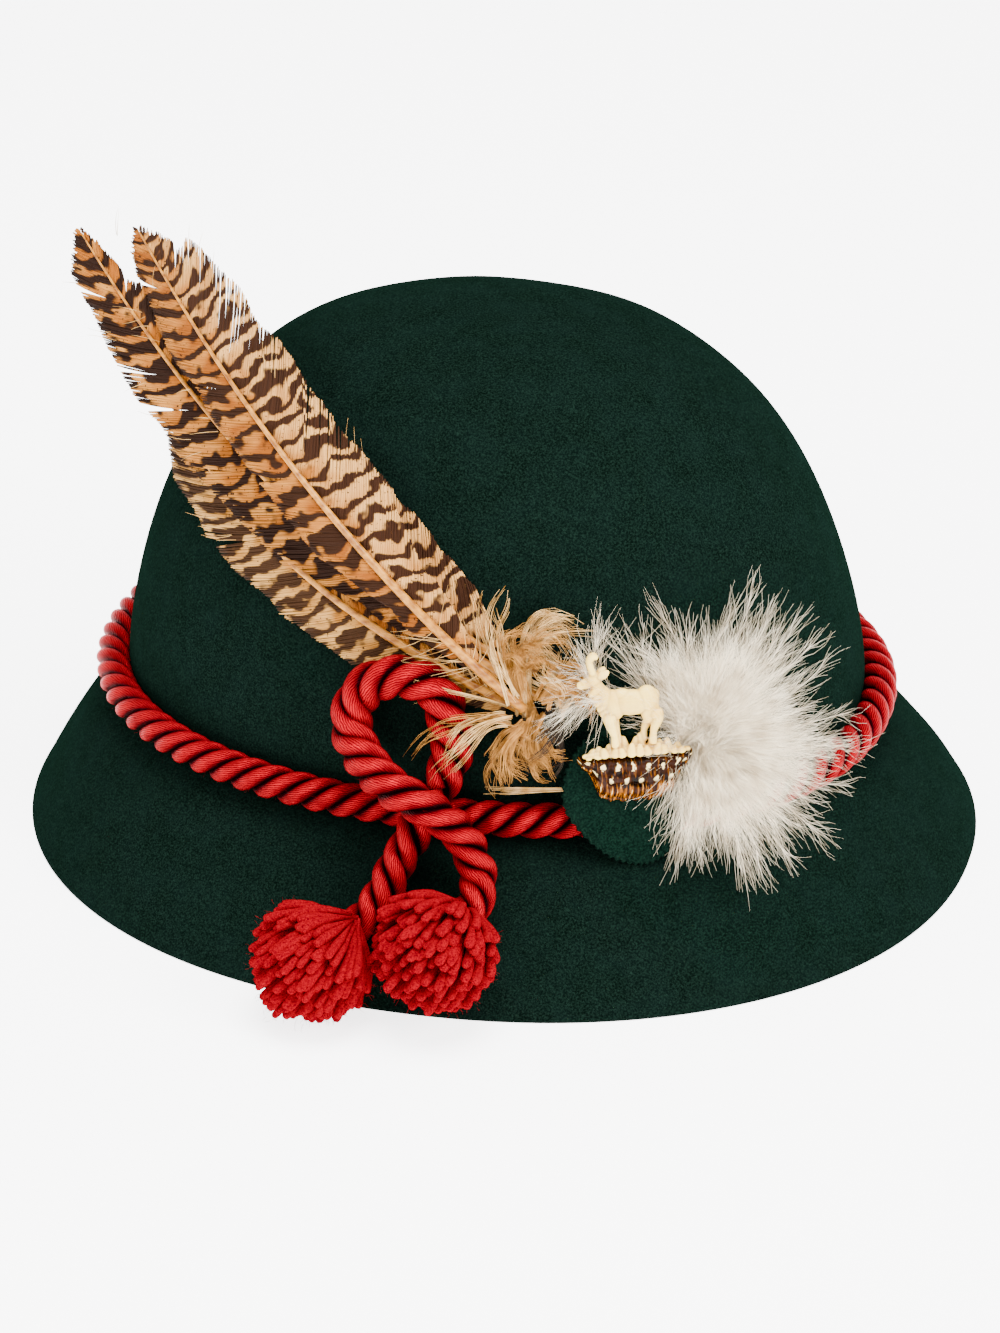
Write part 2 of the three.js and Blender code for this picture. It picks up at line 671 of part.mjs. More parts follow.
addPiece('felt_body', feltBody(), greenFelt);
addPiece('cord_band', cordBand(), redCord);
addPiece('bow_loop', cordTube(LOOP_ROUTE, CORD_DIAMETER), redCord);
addPiece('tail_left', cordTube(LEFT_ROUTE, CORD_DIAMETER), redCord);
addPiece('pompom_left', pompom(LEFT_ROUTE), redWool);
addPiece('pompom_right', pompom(LOOP_ROUTE), redWool);
FEATHERS.forEach((shape) => addPiece(shape.name, feather(shape), barredFeather));
addPiece('down_tuft', tuft(DOWN_TUFT), tanDown);
addPiece('white_tuft', tuft(WHITE_TUFT), whiteDown);
addPiece('felt_leaf', feltLeaf(), greenFelt);
addPiece('chamois', chamois(), ivoryPlastic);
addPiece('pin_base', pinBase(), brownPlastic);

export default group;
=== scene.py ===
"""Looks of a tyrolean hat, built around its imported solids.

The classes keep their sizes in millimetres, and every mesh is written in metres. +X is the front of
the hat, -Y the side that carries the trim and +Z up out of the crown.
"""

import logging
import math
from dataclasses import dataclass, field
from enum import Enum

import bpy
import numpy as np
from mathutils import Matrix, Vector

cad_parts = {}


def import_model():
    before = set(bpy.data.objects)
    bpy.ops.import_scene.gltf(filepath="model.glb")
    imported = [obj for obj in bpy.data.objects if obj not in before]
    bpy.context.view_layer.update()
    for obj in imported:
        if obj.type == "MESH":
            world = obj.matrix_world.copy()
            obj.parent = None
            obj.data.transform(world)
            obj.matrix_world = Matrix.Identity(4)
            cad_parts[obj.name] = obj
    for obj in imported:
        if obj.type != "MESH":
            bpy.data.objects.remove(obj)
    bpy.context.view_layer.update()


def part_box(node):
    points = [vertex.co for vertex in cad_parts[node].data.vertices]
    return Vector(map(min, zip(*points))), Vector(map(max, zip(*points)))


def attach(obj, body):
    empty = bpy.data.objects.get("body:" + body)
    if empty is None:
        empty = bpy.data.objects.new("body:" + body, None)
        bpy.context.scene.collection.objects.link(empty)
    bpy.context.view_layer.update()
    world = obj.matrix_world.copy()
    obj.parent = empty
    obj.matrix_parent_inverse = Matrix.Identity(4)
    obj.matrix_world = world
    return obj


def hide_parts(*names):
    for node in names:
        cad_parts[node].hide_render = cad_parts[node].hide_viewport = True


LOG = logging.getLogger("tyrolean_hat")
MM = 0.001
BODY = "root"
GOLDEN_TURN = math.pi * (3 - math.sqrt(5))
GOLDEN_SHARE = 0.618034
FULL_TURN = 2 * math.pi
PATTERN = "Pattern"


class Slot(Enum):
    """Material slots of the record."""

    HAT_FELT = "green_felt"
    LEAF_FELT = "leaf_felt"
    CORD = "red_cord"
    WOOL = "red_wool"
    FEATHER = "barred_feather"
    TAN_DOWN = "tan_down"
    WHITE_DOWN = "white_down"
    IVORY = "ivory_resin"
    BROWN = "brown_resin"


# Colour and material helpers


class Kind(Enum):
    """Shader nodes that the finishes are made of."""

    PLACE = "ShaderNodeTexCoord"
    SPOT = "ShaderNodeUVMap"
    GEOMETRY = "ShaderNodeNewGeometry"
    SPLIT = "ShaderNodeSeparateXYZ"
    JOIN = "ShaderNodeCombineXYZ"
    STRETCH = "ShaderNodeMapping"
    NOISE = "ShaderNodeTexNoise"
    MATH = "ShaderNodeMath"
    RANGE = "ShaderNodeMapRange"
    MIX = "ShaderNodeMix"
    HOLLOWS = "ShaderNodeAmbientOcclusion"
    BUMP = "ShaderNodeBump"
    SHADER = "ShaderNodeBsdfPrincipled"
    OUTPUT = "ShaderNodeOutputMaterial"


def linear(hex_colour: str) -> tuple[float, float, float, float]:
    """Turn an sRGB hex colour to linear values.

    Args:
        hex_colour: six hex digits.

    Returns:
        Red, green, blue and alpha.
    """
    values = [int(hex_colour[place : place + 2], 16) / 255 for place in (0, 2, 4)]
    turned = [value / 12.92 if value <= 0.04045 else ((value + 0.055) / 1.055) ** 2.4 for value in values]
    return (*turned, 1.0)


class Shading:
    """Material of one finish, gathered node by node."""

    def __init__(self, name: str) -> None:
        """Start a material without nodes.

        Args:
            name: the real material's name.
        """
        self.material = bpy.data.materials.new(name)
        self.material.use_nodes = True
        self.tree = self.material.node_tree
        self.tree.nodes.clear()

    def add(self, kind: Kind, inputs: dict | list | None = None, **settings: object) -> bpy.types.Node:
        """Add a node with its settings, values and links.

        Args:
            kind: the kind of node.
            inputs: a node, an output, a hex colour or a value for each input, by name or number, or in order.
            settings: properties of the node.

        Returns:
            The node.
        """
        made = self.tree.nodes.new(kind.value)
        for name, value in settings.items():
            setattr(made, name, value)
        for socket, value in inputs.items() if isinstance(inputs, dict) else enumerate(inputs or []):
            if isinstance(value, bpy.types.Node):
                value = next(output for output in value.outputs if output.enabled)
            if isinstance(value, bpy.types.NodeSocket):
                self.tree.links.new(value, made.inputs[socket])
            else:
                made.inputs[socket].default_value = linear(value) if isinstance(value, str) else value
        return made

    def close(self, shader: bpy.types.Node) -> bpy.types.Material:
        """Link the shader to the output and hand over the material."""
        self.add(Kind.OUTPUT, {"Surface": shader})
        return self.material


# Shape helpers


def unit(vectors: np.ndarray) -> np.ndarray:
    """Scale vectors to length one."""
    return vectors / np.maximum(np.linalg.norm(vectors, axis=-1, keepdims=True), 1e-9)


def without(vectors: np.ndarray, axis: np.ndarray) -> np.ndarray:
    """Take the part along an axis out of vectors, and scale them to length one."""
    return unit(vectors - axis * np.sum(vectors * axis, axis=-1, keepdims=True))


def bezier(root: np.ndarray, bend: np.ndarray, tip: np.ndarray, shares: np.ndarray) -> np.ndarray:
    """Points of quadratic curves.

    Args:
        root: start points, one or many.
        bend: middle control points.
        tip: end points.
        shares: shares of the way, from 0 to 1.

    Returns:
        A row of points for each curve.
    """
    t = shares[:, None]
    first, second, third = (np.asarray(p, float)[..., None, :] for p in (root, bend, tip))
    return (1 - t) ** 2 * first + 2 * t * (1 - t) * second + t**2 * third


def through(points: list, steps: int = 24) -> np.ndarray:
    """Fine points of a smooth curve through given points.

    Args:
        points: the given points.
        steps: fine points between two given ones.

    Returns:
        The fine points.
    """
    given = np.asarray(points, float)
    around = np.vstack([2 * given[0] - given[1], given, 2 * given[-1] - given[-2]])
    fine = []
    for place in range(len(around) - 3):
        p0, p1, p2, p3 = around[place : place + 4]
        for step in range(steps):
            t = step / steps
            bend = (2 * p0 - 5 * p1 + 4 * p2 - p3) * t**2 + (3 * p1 - p0 - 3 * p2 + p3) * t**3
            fine.append(0.5 * (2 * p1 + (p2 - p0) * t + bend))
    return np.array([*fine, given[-1]])


def evenly(points: np.ndarray, spacing: float, closed: bool = False) -> tuple[np.ndarray, np.ndarray]:
    """Space points evenly along a line.

    Args:
        points: the line's points.
        spacing: the distance wanted.
        closed: whether the line runs back to its start.

    Returns:
        The new points and how far along each lies.
    """
    line = np.vstack([points, points[:1]]) if closed else points
    reach = np.concatenate([[0], np.cumsum(np.linalg.norm(np.diff(line, axis=0), axis=1))])
    count = max(2, round(reach[-1] / spacing) + 1)
    along = np.linspace(0, reach[-1], count)
    if closed:
        along = along[:-1]
    return np.stack([np.interp(along, reach, line[:, axis]) for axis in range(3)], axis=1), along


def steady_frames(points: np.ndarray, start: np.ndarray) -> tuple[np.ndarray, np.ndarray, np.ndarray]:
    """Frames along a line that turn no more than the line does.

    Args:
        points: the line's points.
        start: the direction that the first frame's side points to.

    Returns:
        Tangents, sides and upward directions.
    """
    tangents = unit(np.gradient(points, axis=0))
    sides = np.empty_like(points)
    side = start
    for place, tangent in enumerate(tangents):
        side = without(side, tangent)
        sides[place] = side
    return tangents, sides, np.cross(tangents, sides)


def at_places(lines: np.ndarray, places: np.ndarray) -> tuple[np.ndarray, np.ndarray]:
    """Points between the stations of many lines.

    Args:
        lines: lines by stations by 3.
        places: places on each line, counted in stations.

    Returns:
        The points, and the steps between the stations on both sides of each.
    """
    low = np.minimum(np.floor(places).astype(int), lines.shape[1] - 2)
    rest = (places - low)[..., None]
    rows = np.arange(len(lines))[:, None]
    before, after = lines[rows, low], lines[rows, low + 1]
    return before * (1 - rest) + after * rest, after - before


def circle(count: int) -> np.ndarray:
    """Corners of a round section of radius one."""
    angles = np.arange(count) / count * 2 * np.pi
    return np.stack([np.cos(angles), np.sin(angles)], axis=-1)


def add_object(name: str, data: bpy.types.ID) -> bpy.types.Object:
    """Put an object into the scene.

    Args:
        name: its name.
        data: its mesh, camera or lamp.

    Returns:
        The object.
    """
    made = bpy.data.objects.new(name, data)
    bpy.context.scene.collection.objects.link(made)
    return made


class Surface:
    """Points and faces of one piece, gathered before its mesh is made."""

    def __init__(self) -> None:
        """Start with nothing."""
        self.points: list[np.ndarray] = []
        self.faces: list[tuple[np.ndarray, np.ndarray, int]] = []
        self.total = 0

    def add(self, points: np.ndarray, faces: list, material: int = 0) -> None:
        """Add a patch.

        Args:
            points: its points in millimetres.
            faces: pairs of corner numbers and pattern places, or None for no places.
            material: the number of its material.
        """
        for corners, places in faces:
            spots = np.zeros((*corners.shape, 2)) if places is None else places
            self.faces.append((corners + self.total, spots, material))
        flat = points.reshape(-1, 3)
        self.points.append(flat)
        self.total += len(flat)

    def sweep(
        self,
        centres: np.ndarray,
        across: np.ndarray,
        upward: np.ndarray,
        section: np.ndarray,
        along: np.ndarray | None = None,
        pattern: np.ndarray | None = None,
        closed: bool = False,
        material: int = 0,
    ) -> None:
        """Sweep a section along many lines at once.

        Args:
            centres: points of the lines, as lines by stations by 3.
            across: first direction of the section at each station.
            upward: second direction, such that across x upward runs along the line.
            section: corners, alone or for each line and station, in millimetres.
            along: distance along the line at each station, for places round and along the section.
            pattern: pattern place at each station instead, the same all round the section.
            closed: whether the lines run back to their start.
            material: the number of the material.
        """
        lines, stations = centres.shape[:2]
        corners = section.shape[-2]
        points = (
            centres[:, :, None, :]
            + across[:, :, None, :] * section[..., 0:1]
            + upward[:, :, None, :] * section[..., 1:2]
        )
        index = np.arange(lines * stations * corners).reshape(lines, stations, corners)
        turned = np.roll(index, -1, axis=2)
        if closed:
            ahead = np.roll(index, -1, axis=1)
            ahead_turned = np.roll(turned, -1, axis=1)
            near, near_turned = index, turned
        else:
            ahead, ahead_turned = index[:, 1:], turned[:, 1:]
            near, near_turned = index[:, :-1], turned[:, :-1]
        quads = np.stack([near, near_turned, ahead_turned, ahead], axis=-1)
        rows = quads.shape[1]
        places = np.zeros((*quads.shape, 2))
        if pattern is not None:
            next_pattern = np.roll(pattern, -1, axis=1)
            places[..., 0:2, :] = pattern[:, :rows, None, None, :]
            places[..., 2:4, :] = next_pattern[:, :rows, None, None, :]
        elif along is not None:
            places[..., 0] = (np.arange(corners)[:, None] + [0, 1, 1, 0]) / corners
            step = along[:, 1:2] - along[:, 0:1]
            further = np.concatenate([along[:, 1:], along[:, -1:] + step], axis=1)
            places[..., 0:2, 1] = along[:, :rows, None, None]
            places[..., 2:4, 1] = further[:, :rows, None, None]
        faces = [(quads.reshape(-1, 4), places.reshape(-1, 4, 2))]
        if not closed:
            end_places = np.zeros((lines, corners, 2))
            for ring, station in ((index[:, 0, ::-1], 0), (index[:, -1], stations - 1)):
                if pattern is not None:
                    end_places = np.repeat(pattern[:, station, None, :], corners, axis=1)
                faces.append((ring, end_places))
        self.add(points, faces, material)

    def grid(self, points: np.ndarray, closed: bool = False, pattern: np.ndarray | None = None) -> None:
        """Add rows of points joined to a skin.

        Args:
            points: rows by columns by 3.
            closed: whether each row runs back to its start.
            pattern: pattern place of each point.
        """
        rows, columns = points.shape[:2]
        index = np.arange(rows * columns).reshape(rows, columns)
        right = np.roll(index, -1, axis=1)
        width = columns if closed else columns - 1
        quads = np.stack([index[:-1], right[:-1], right[1:], index[1:]], axis=-1)[:, :width].reshape(-1, 4)
        places = None if pattern is None else pattern.reshape(-1, 2)[quads]
        self.add(points, [(quads, places)])

    def fan(self, ring: np.ndarray, turned: bool) -> None:
        """Close a ring with faces to its middle.

        Args:
            ring: the ring's points.
            turned: whether the faces run the other way round.
        """
        here = np.arange(len(ring))
        around, hub = np.roll(here, -1), np.full(len(ring), len(ring))
        corners = [here, around, hub] if turned else [around, here, hub]
        self.add(np.vstack([ring, ring.mean(axis=0)]), [(np.stack(corners, axis=-1), None)])

    def build(self, name: str, materials: list) -> bpy.types.Object:
        """Make the mesh object, shaded smooth.

        Args:
            name: the piece's name.
            materials: its materials, in the order of their numbers.

        Returns:
            The object.
        """
        points = np.concatenate(self.points) * MM
        corner_lists = [corners.reshape(-1) for corners, _, _ in self.faces]
        counts = np.concatenate([np.full(len(corners), corners.shape[1]) for corners, _, _ in self.faces])
        numbers = np.concatenate([np.full(len(corners), material) for corners, _, material in self.faces])
        loops = np.concatenate(corner_lists)
        mesh = bpy.data.meshes.new(name)
        mesh.vertices.add(len(points))
        mesh.vertices.foreach_set("co", points.astype(np.float32).reshape(-1))
        mesh.loops.add(len(loops))
        mesh.loops.foreach_set("vertex_index", loops.astype(np.int32))
        mesh.polygons.add(len(counts))
        starts = np.concatenate([[0], np.cumsum(counts)[:-1]])
        mesh.polygons.foreach_set("loop_start", starts.astype(np.int32))
        mesh.polygons.foreach_set("loop_total", counts.astype(np.int32))
        mesh.polygons.foreach_set("material_index", numbers.astype(np.int32))
        mesh.polygons.foreach_set("use_smooth", np.full(len(counts), True))
        layer = mesh.uv_layers.new(name=PATTERN)
        places = np.concatenate([spots.reshape(-1, 2) for _, spots, _ in self.faces])
        layer.data.foreach_set("uv", places.astype(np.float32).reshape(-1))
        for material in materials:
            mesh.materials.append(material)
        mesh.update(calc_edges=True)
        mesh.validate()
        return add_object(name, mesh)


def finish_piece(piece: bpy.types.Object, slot: Slot, *nodes: str) -> bpy.types.Object:
    """Tie a piece to the hat's body and hide the solids that it stands for.

    Args:
        piece: the finished object.
        slot: the record's material slot; not used.
        nodes: names of the solids.

    Returns:
        The piece.
    """
    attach(piece, BODY)
    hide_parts(*nodes)
    faces = piece.data.polygons
    totals = np.zeros(len(faces), dtype=np.int32)
    faces.foreach_get("loop_total", totals)
    LOG.info("%s: %d triangles", piece.name, int((totals - 2).sum()))
    return piece


# Finishes


@dataclass(frozen=True)
class WoolFelt:
    """Pressed wool felt: matte, with a short nap that shows as fine flecks and a soft sheen at its edges."""

    name: str
    ground: str
    fleck: str
    shade: str
    fibre_mm: float = 0.5
    cloud_mm: float = 9.0
    nap_height_mm: float = 0.12
    sheen: float = 0.014
    sheen_tint: str = "3F8A68"
    fleck_range: tuple = (0.42, 0.74)
    cloud_range: tuple = (0.35, 0.7)
    lint_range: tuple = (0.62, 0.8)

    def build(self) -> bpy.types.Material:
        """Make the material.

        Returns:
            The material.
        """
        felt = Shading(self.name)
        place = felt.add(Kind.PLACE).outputs["Object"]
        fibres = 1 / (self.fibre_mm * MM)
        clouds = 1 / (self.cloud_mm * MM)
        fleck = felt.add(Kind.NOISE, {"Vector": place, "Scale": fibres, "Detail": 4.0, "Roughness": 0.65})
        cloud = felt.add(Kind.NOISE, {"Vector": place, "Scale": clouds, "Detail": 3.0, "Roughness": 0.55})
        curled = {"Scale": 0.45 * fibres, "Detail": 2.0, "Distortion": 1.6}
        lint = felt.add(Kind.NOISE, {"Vector": place, **curled})
        fleck_share = felt.add(Kind.RANGE, [fleck, *self.fleck_range])
        cloud_share = felt.add(Kind.RANGE, [cloud, *self.cloud_range])
        lint_share = felt.add(Kind.RANGE, [lint, *self.lint_range])
        tone = felt.add(Kind.MIX, {0: cloud_share, 6: self.shade, 7: self.ground}, data_type="RGBA")
        flecked = felt.add(Kind.MIX, {0: fleck_share, 6: tone, 7: self.fleck}, data_type="RGBA")
        linted = felt.add(Kind.MIX, {0: lint_share, 6: flecked, 7: self.fleck}, data_type="RGBA")
        bump = felt.add(Kind.BUMP, {"Height": fleck, "Strength": 0.6, "Distance": self.nap_height_mm * MM})
        look = {"Base Color": linted, "Roughness": 0.95, "Specular IOR Level": 0.0, "Normal": bump}
        sheen = {"Sheen Weight": self.sheen, "Sheen Roughness": 0.45, "Sheen Tint": self.sheen_tint}
        return felt.close(felt.add(Kind.SHADER, {**look, **sheen}))


@dataclass(frozen=True)
class SatinCord:
    """Viscose satin thread laid side by side on each strand: saturated, with a silky gloss along it, painted
    shade in the grooves between the strands and painted glints on the ridges of the threads.
    """

    name: str = "viscose satin cord"
    bright: str = "A00014"
    # The deep colour is painted shade, for the grooves between the strands
    deep: str = "0C0002"
    gloss_tint: str = "FF2832"
    threads: int = 24
    thread_turn_mm: float = 14.0
    thread_height_mm: float = 0.2
    wander: float = 1.3
    wander_per_mm: float = 0.7
    uneven_per_mm: float = 0.26
    groove_shade_range: tuple = (0.24, 1.0)
    thread_glint_range: tuple = (0.04, 0.42, 0.22)

    def build(self) -> bpy.types.Material:
        """Make the material, whose pattern place is the way round a strand and the distance along it.

        Returns:
            The material.
        """
        cord = Shading(self.name)
        spot = cord.add(Kind.SPOT, uv_map=PATTERN)
        around, along = cord.add(Kind.SPLIT, [spot]).outputs[:2]
        place = cord.add(Kind.PLACE).outputs["Object"]
        wander = cord.add(Kind.NOISE, {"Vector": place, "Scale": self.wander_per_mm / MM, "Detail": 2.0})
        slant = cord.add(Kind.MATH, [along, -1 / self.thread_turn_mm], operation="MULTIPLY")
        turned = cord.add(Kind.MATH, [around, slant], operation="ADD")
        counted = cord.add(Kind.MATH, [turned, float(self.threads)], operation="MULTIPLY")
        shaken = cord.add(Kind.MATH, [wander, self.wander, counted], operation="MULTIPLY_ADD")
        phase = cord.add(Kind.MATH, [shaken, FULL_TURN], operation="MULTIPLY")
        wave = cord.add(Kind.MATH, [phase], operation="SINE")
        ridge = cord.add(Kind.RANGE, [wave, -1.0, 1.0])
        uneven = cord.add(Kind.NOISE, {"Vector": place, "Scale": self.uneven_per_mm / MM, "Detail": 3.0})
        depth = cord.add(Kind.MATH, [ridge, uneven], operation="MULTIPLY")
        # Painted shade and glints: each strand runs from the bright colour on its outer side to the deep
        # colour in the grooves against its neighbours, and the ridges of its threads are painted lighter than
        # their valleys
        outward = cord.add(Kind.MATH, [around, FULL_TURN], operation="MULTIPLY")
        outer = cord.add(Kind.MATH, [outward], operation="COSINE")
        groove_shade = cord.add(Kind.RANGE, [outer, *self.groove_shade_range])
        thread = cord.add(Kind.RANGE, [depth, *self.thread_glint_range])
        share = cord.add(Kind.MATH, [groove_shade, thread], operation="MULTIPLY")
        colour = cord.add(Kind.MIX, {0: share, 6: self.deep, 7: self.bright}, data_type="RGBA")
        bump = cord.add(Kind.BUMP, {"Height": ridge, "Strength": 0.7, "Distance": self.thread_height_mm * MM})
        look = {"Base Color": colour, "Metallic": 0.42, "Roughness": 0.3, "Normal": bump}
        gloss = {"Specular IOR Level": 0.05, "Specular Tint": self.gloss_tint}
        return cord.close(cord.add(Kind.SHADER, {**look, **gloss}))


@dataclass(frozen=True)
class WoolYarn:
    """Soft wool yarn: matte and fuzzy, lighter where the fibres stand off."""

    name: str = "wool yarn"
    bright: str = "7E000E"
    deep: str = "4C0008"
    sheen_tint: str = "FF1020"
    fibre_per_mm: float = 2.2
    fibre_height_mm: float = 0.1
    fibre_range: tuple = (0.35, 0.65)

    def build(self) -> bpy.types.Material:
        """Make the material.

        Returns:
            The material.
        """
        yarn = Shading(self.name)
        place = yarn.add(Kind.PLACE).outputs["Object"]
        grain = {"Scale": self.fibre_per_mm / MM, "Detail": 3.0, "Distortion": 0.8}
        fibre = yarn.add(Kind.NOISE, {"Vector": place, **grain})
        share = yarn.add(Kind.RANGE, [fibre, *self.fibre_range])
        colour = yarn.add(Kind.MIX, {0: share, 6: self.deep, 7: self.bright}, data_type="RGBA")
        bump = yarn.add(Kind.BUMP, {"Height": fibre, "Strength": 0.35, "Distance": self.fibre_height_mm * MM})
        look = {"Base Color": colour, "Roughness": 0.9, "Specular IOR Level": 0.0, "Normal": bump}
        sheen = {"Sheen Weight": 0.02, "Sheen Roughness": 0.5, "Sheen Tint": self.sheen_tint}
        return yarn.close(yarn.add(Kind.SHADER, {**look, **sheen}))


@dataclass(frozen=True)
class BarredVane:
    """Barred vane of a pheasant feather: matte barbs with jagged dark bars and small spots.

    The pattern place of a barb is its distance from the quill and its root's place along the quill, in
    millimetres, so a bar follows the barbs as on the real feather.
    """

    name: str
    pale: str
    warm: str
    dark: str
    bar_mm: float
    bar_share: float
    warm_share: float
    slope: float = 0.0
    spots: float = 0.63
    jagged: float = 0.2
    broad_per_mm: float = 0.16
    ragged_per_mm: float = 0.42
    speck_per_mm: float = 1.1
    barb_stretch: tuple = (0.55, 1.0, 1.0)
    warm_range: tuple = (0.3, 0.7)
    quill_range: tuple = (0.0, 15.0, 1.3, 0.3)

    def build(self) -> bpy.types.Material:
        """Make the material.

        Returns:
            The material.
        """
        vane = Shading(self.name)
        spot = vane.add(Kind.SPOT, uv_map=PATTERN)
        distance, rooted = vane.add(Kind.SPLIT, [spot]).outputs[:2]
        sloped = vane.add(Kind.MATH, [distance, self.slope, rooted], operation="MULTIPLY_ADD")
        true_place = vane.add(Kind.JOIN, [distance, sloped])
        broad = vane.add(Kind.NOISE, {"Vector": true_place, "Scale": self.broad_per_mm, "Detail": 1.0})
        streaked = vane.add(Kind.STRETCH, {"Vector": spot, "Scale": self.barb_stretch})
        edge = {"Scale": self.ragged_per_mm, "Detail": 6.0, "Roughness": 0.66}
        ragged = vane.add(Kind.NOISE, {"Vector": streaked, **edge})
        dot = {"Scale": self.speck_per_mm, "Detail": 2.0, "Roughness": 0.6}
        speck = vane.add(Kind.NOISE, {"Vector": true_place, **dot})
        counted = vane.add(Kind.MATH, [sloped, 1 / self.bar_mm], operation="MULTIPLY")
        bent = vane.add(Kind.MATH, [broad, 2.0, counted], operation="MULTIPLY_ADD")
        phase = vane.add(Kind.MATH, [bent, FULL_TURN], operation="MULTIPLY")
        wave = vane.add(Kind.MATH, [phase], operation="SINE")
        rough_wave = vane.add(Kind.MATH, [ragged, 4.0 * self.jagged, wave], operation="MULTIPLY_ADD")
        level = 2.0 * self.jagged + math.cos(math.pi * self.bar_share)
        bar = vane.add(Kind.RANGE, [rough_wave, level - 0.35, level + 0.45], interpolation_type="SMOOTHSTEP")
        dots = vane.add(Kind.RANGE, [speck, self.spots, self.spots + 0.05])
        marks = vane.add(Kind.MATH, [bar, dots], operation="MAXIMUM")
        warmth = vane.add(Kind.RANGE, [broad, *self.warm_range, 0.0, 2 * self.warm_share])
        near_quill = vane.add(Kind.RANGE, [distance, *self.quill_range])
        warm_here = vane.add(Kind.MATH, [warmth, near_quill], operation="MULTIPLY", use_clamp=True)
        ground = vane.add(Kind.MIX, {0: warm_here, 6: self.pale, 7: self.warm}, data_type="RGBA")
        barred = vane.add(Kind.MIX, {0: marks, 6: ground, 7: self.dark}, data_type="RGBA")
        return vane.close(
            vane.add(Kind.SHADER, {"Base Color": barred, "Roughness": 0.6, "Specular IOR Level": 0.06})
        )


@dataclass(frozen=True)
class HornQuill:
    """Keratin of a feather's quill: smooth, golden, a little glossy."""

    name: str = "keratin quill"
    pale: str = "B4782A"
    amber: str = "6E3C0C"
    streak_per_mm: float = 0.42
    streak_stretch: tuple = (1.0, 1.0, 1.6)
    streak_range: tuple = (0.35, 0.68)

    def build(self) -> bpy.types.Material:
        """Make the material.

        Returns:
            The material.
        """
        horn = Shading(self.name)
        place = horn.add(Kind.PLACE).outputs["Object"]
        stretch = horn.add(Kind.STRETCH, {"Vector": place, "Scale": self.streak_stretch})
        streak = horn.add(Kind.NOISE, {"Vector": stretch, "Scale": self.streak_per_mm / MM, "Detail": 3.0})
        share = horn.add(Kind.RANGE, [streak, *self.streak_range])
        colour = horn.add(Kind.MIX, {0: share, 6: self.pale, 7: self.amber}, data_type="RGBA")
        look = {"Base Color": colour, "Roughness": 0.3, "IOR": 1.54, "Specular IOR Level": 0.2}
        return horn.close(horn.add(Kind.SHADER, look))


@dataclass(frozen=True)
class Down:
    """Barbs of down: matte keratin threads, paler where they are dense."""

    name: str
    pale: str
    grey: str
    cluster_mm: float = 3.5
    cluster_range: tuple = (0.38, 0.68)

    def build(self) -> bpy.types.Material:
        """Make the material.

        Returns:
            The material.
        """
        down = Shading(self.name)
        place = down.add(Kind.PLACE).outputs["Object"]
        cluster = down.add(Kind.NOISE, {"Vector": place, "Scale": 1 / (self.cluster_mm * MM), "Detail": 3.0})
        share = down.add(Kind.RANGE, [cluster, *self.cluster_range])
        colour = down.add(Kind.MIX, {0: share, 6: self.pale, 7: self.grey}, data_type="RGBA")
        return down.close(
            down.add(Kind.SHADER, {"Base Color": colour, "Roughness": 0.75, "Specular IOR Level": 0.08})
        )


@dataclass(frozen=True)
class IvoryResin:
    """Cast ivory-coloured resin: smooth and waxy, with light that soaks in a little, and painted shade that
    browns its creases and hollows.
    """

    name: str = "ivory cast resin"
    pale: str = "FAD66C"
    deep: str = "E2B44E"
    # Painted shade colours: the first for creases, the second for hollows
    crease_shade: str = "8A5410"
    shadow: str = "A87834"
    cloud_per_mm: float = 0.24
    tooling_per_mm: float = 1.4
    tooling_height_mm: float = 0.05
    hollow_mm: float = 2.4
    soak_mm: tuple = (0.9, 0.6, 0.35)
    cloud_range: tuple = (0.4, 0.8)
    crease_range: tuple = (0.43, 0.52)
    hollow_range: tuple = (0.1, 0.85)

    def build(self) -> bpy.types.Material:
        """Make the material.

        Returns:
            The material.
        """
        resin = Shading(self.name)
        place = resin.add(Kind.PLACE).outputs["Object"]
        cloud = resin.add(Kind.NOISE, {"Vector": place, "Scale": self.cloud_per_mm / MM, "Detail": 3.0})
        share = resin.add(Kind.RANGE, [cloud, *self.cloud_range])
        colour = resin.add(Kind.MIX, {0: share, 6: self.pale, 7: self.deep}, data_type="RGBA")
        # Painted shade: creases, found by the mesh's pointiness, and hollows, found by occlusion, are
        # darkened towards the browner shade colours
        crease = resin.add(Kind.RANGE, [resin.add(Kind.GEOMETRY).outputs["Pointiness"], *self.crease_range])
        crease_shaded = resin.add(Kind.MIX, {0: crease, 6: self.crease_shade, 7: colour}, data_type="RGBA")
        hollow = resin.add(Kind.HOLLOWS, {"Distance": self.hollow_mm * MM}, samples=8).outputs["AO"]
        depth = resin.add(Kind.RANGE, [hollow, *self.hollow_range])
        hollow_shaded = resin.add(Kind.MIX, {0: depth, 6: self.shadow, 7: crease_shaded}, data_type="RGBA")
        tooling = resin.add(Kind.NOISE, {"Vector": place, "Scale": self.tooling_per_mm / MM, "Detail": 2.0})
        relief = {"Strength": 0.25, "Distance": self.tooling_height_mm * MM}
        bump = resin.add(Kind.BUMP, {"Height": tooling, **relief})
        look = {"Base Color": hollow_shaded, "Roughness": 0.33, "Specular IOR Level": 0.3, "Normal": bump}
        soak = {"Subsurface Radius": [depth_mm * MM for depth_mm in self.soak_mm], "Subsurface Scale": 1.0}
        return resin.close(resin.add(Kind.SHADER, {**look, "Subsurface Weight": 0.08, **soak}))


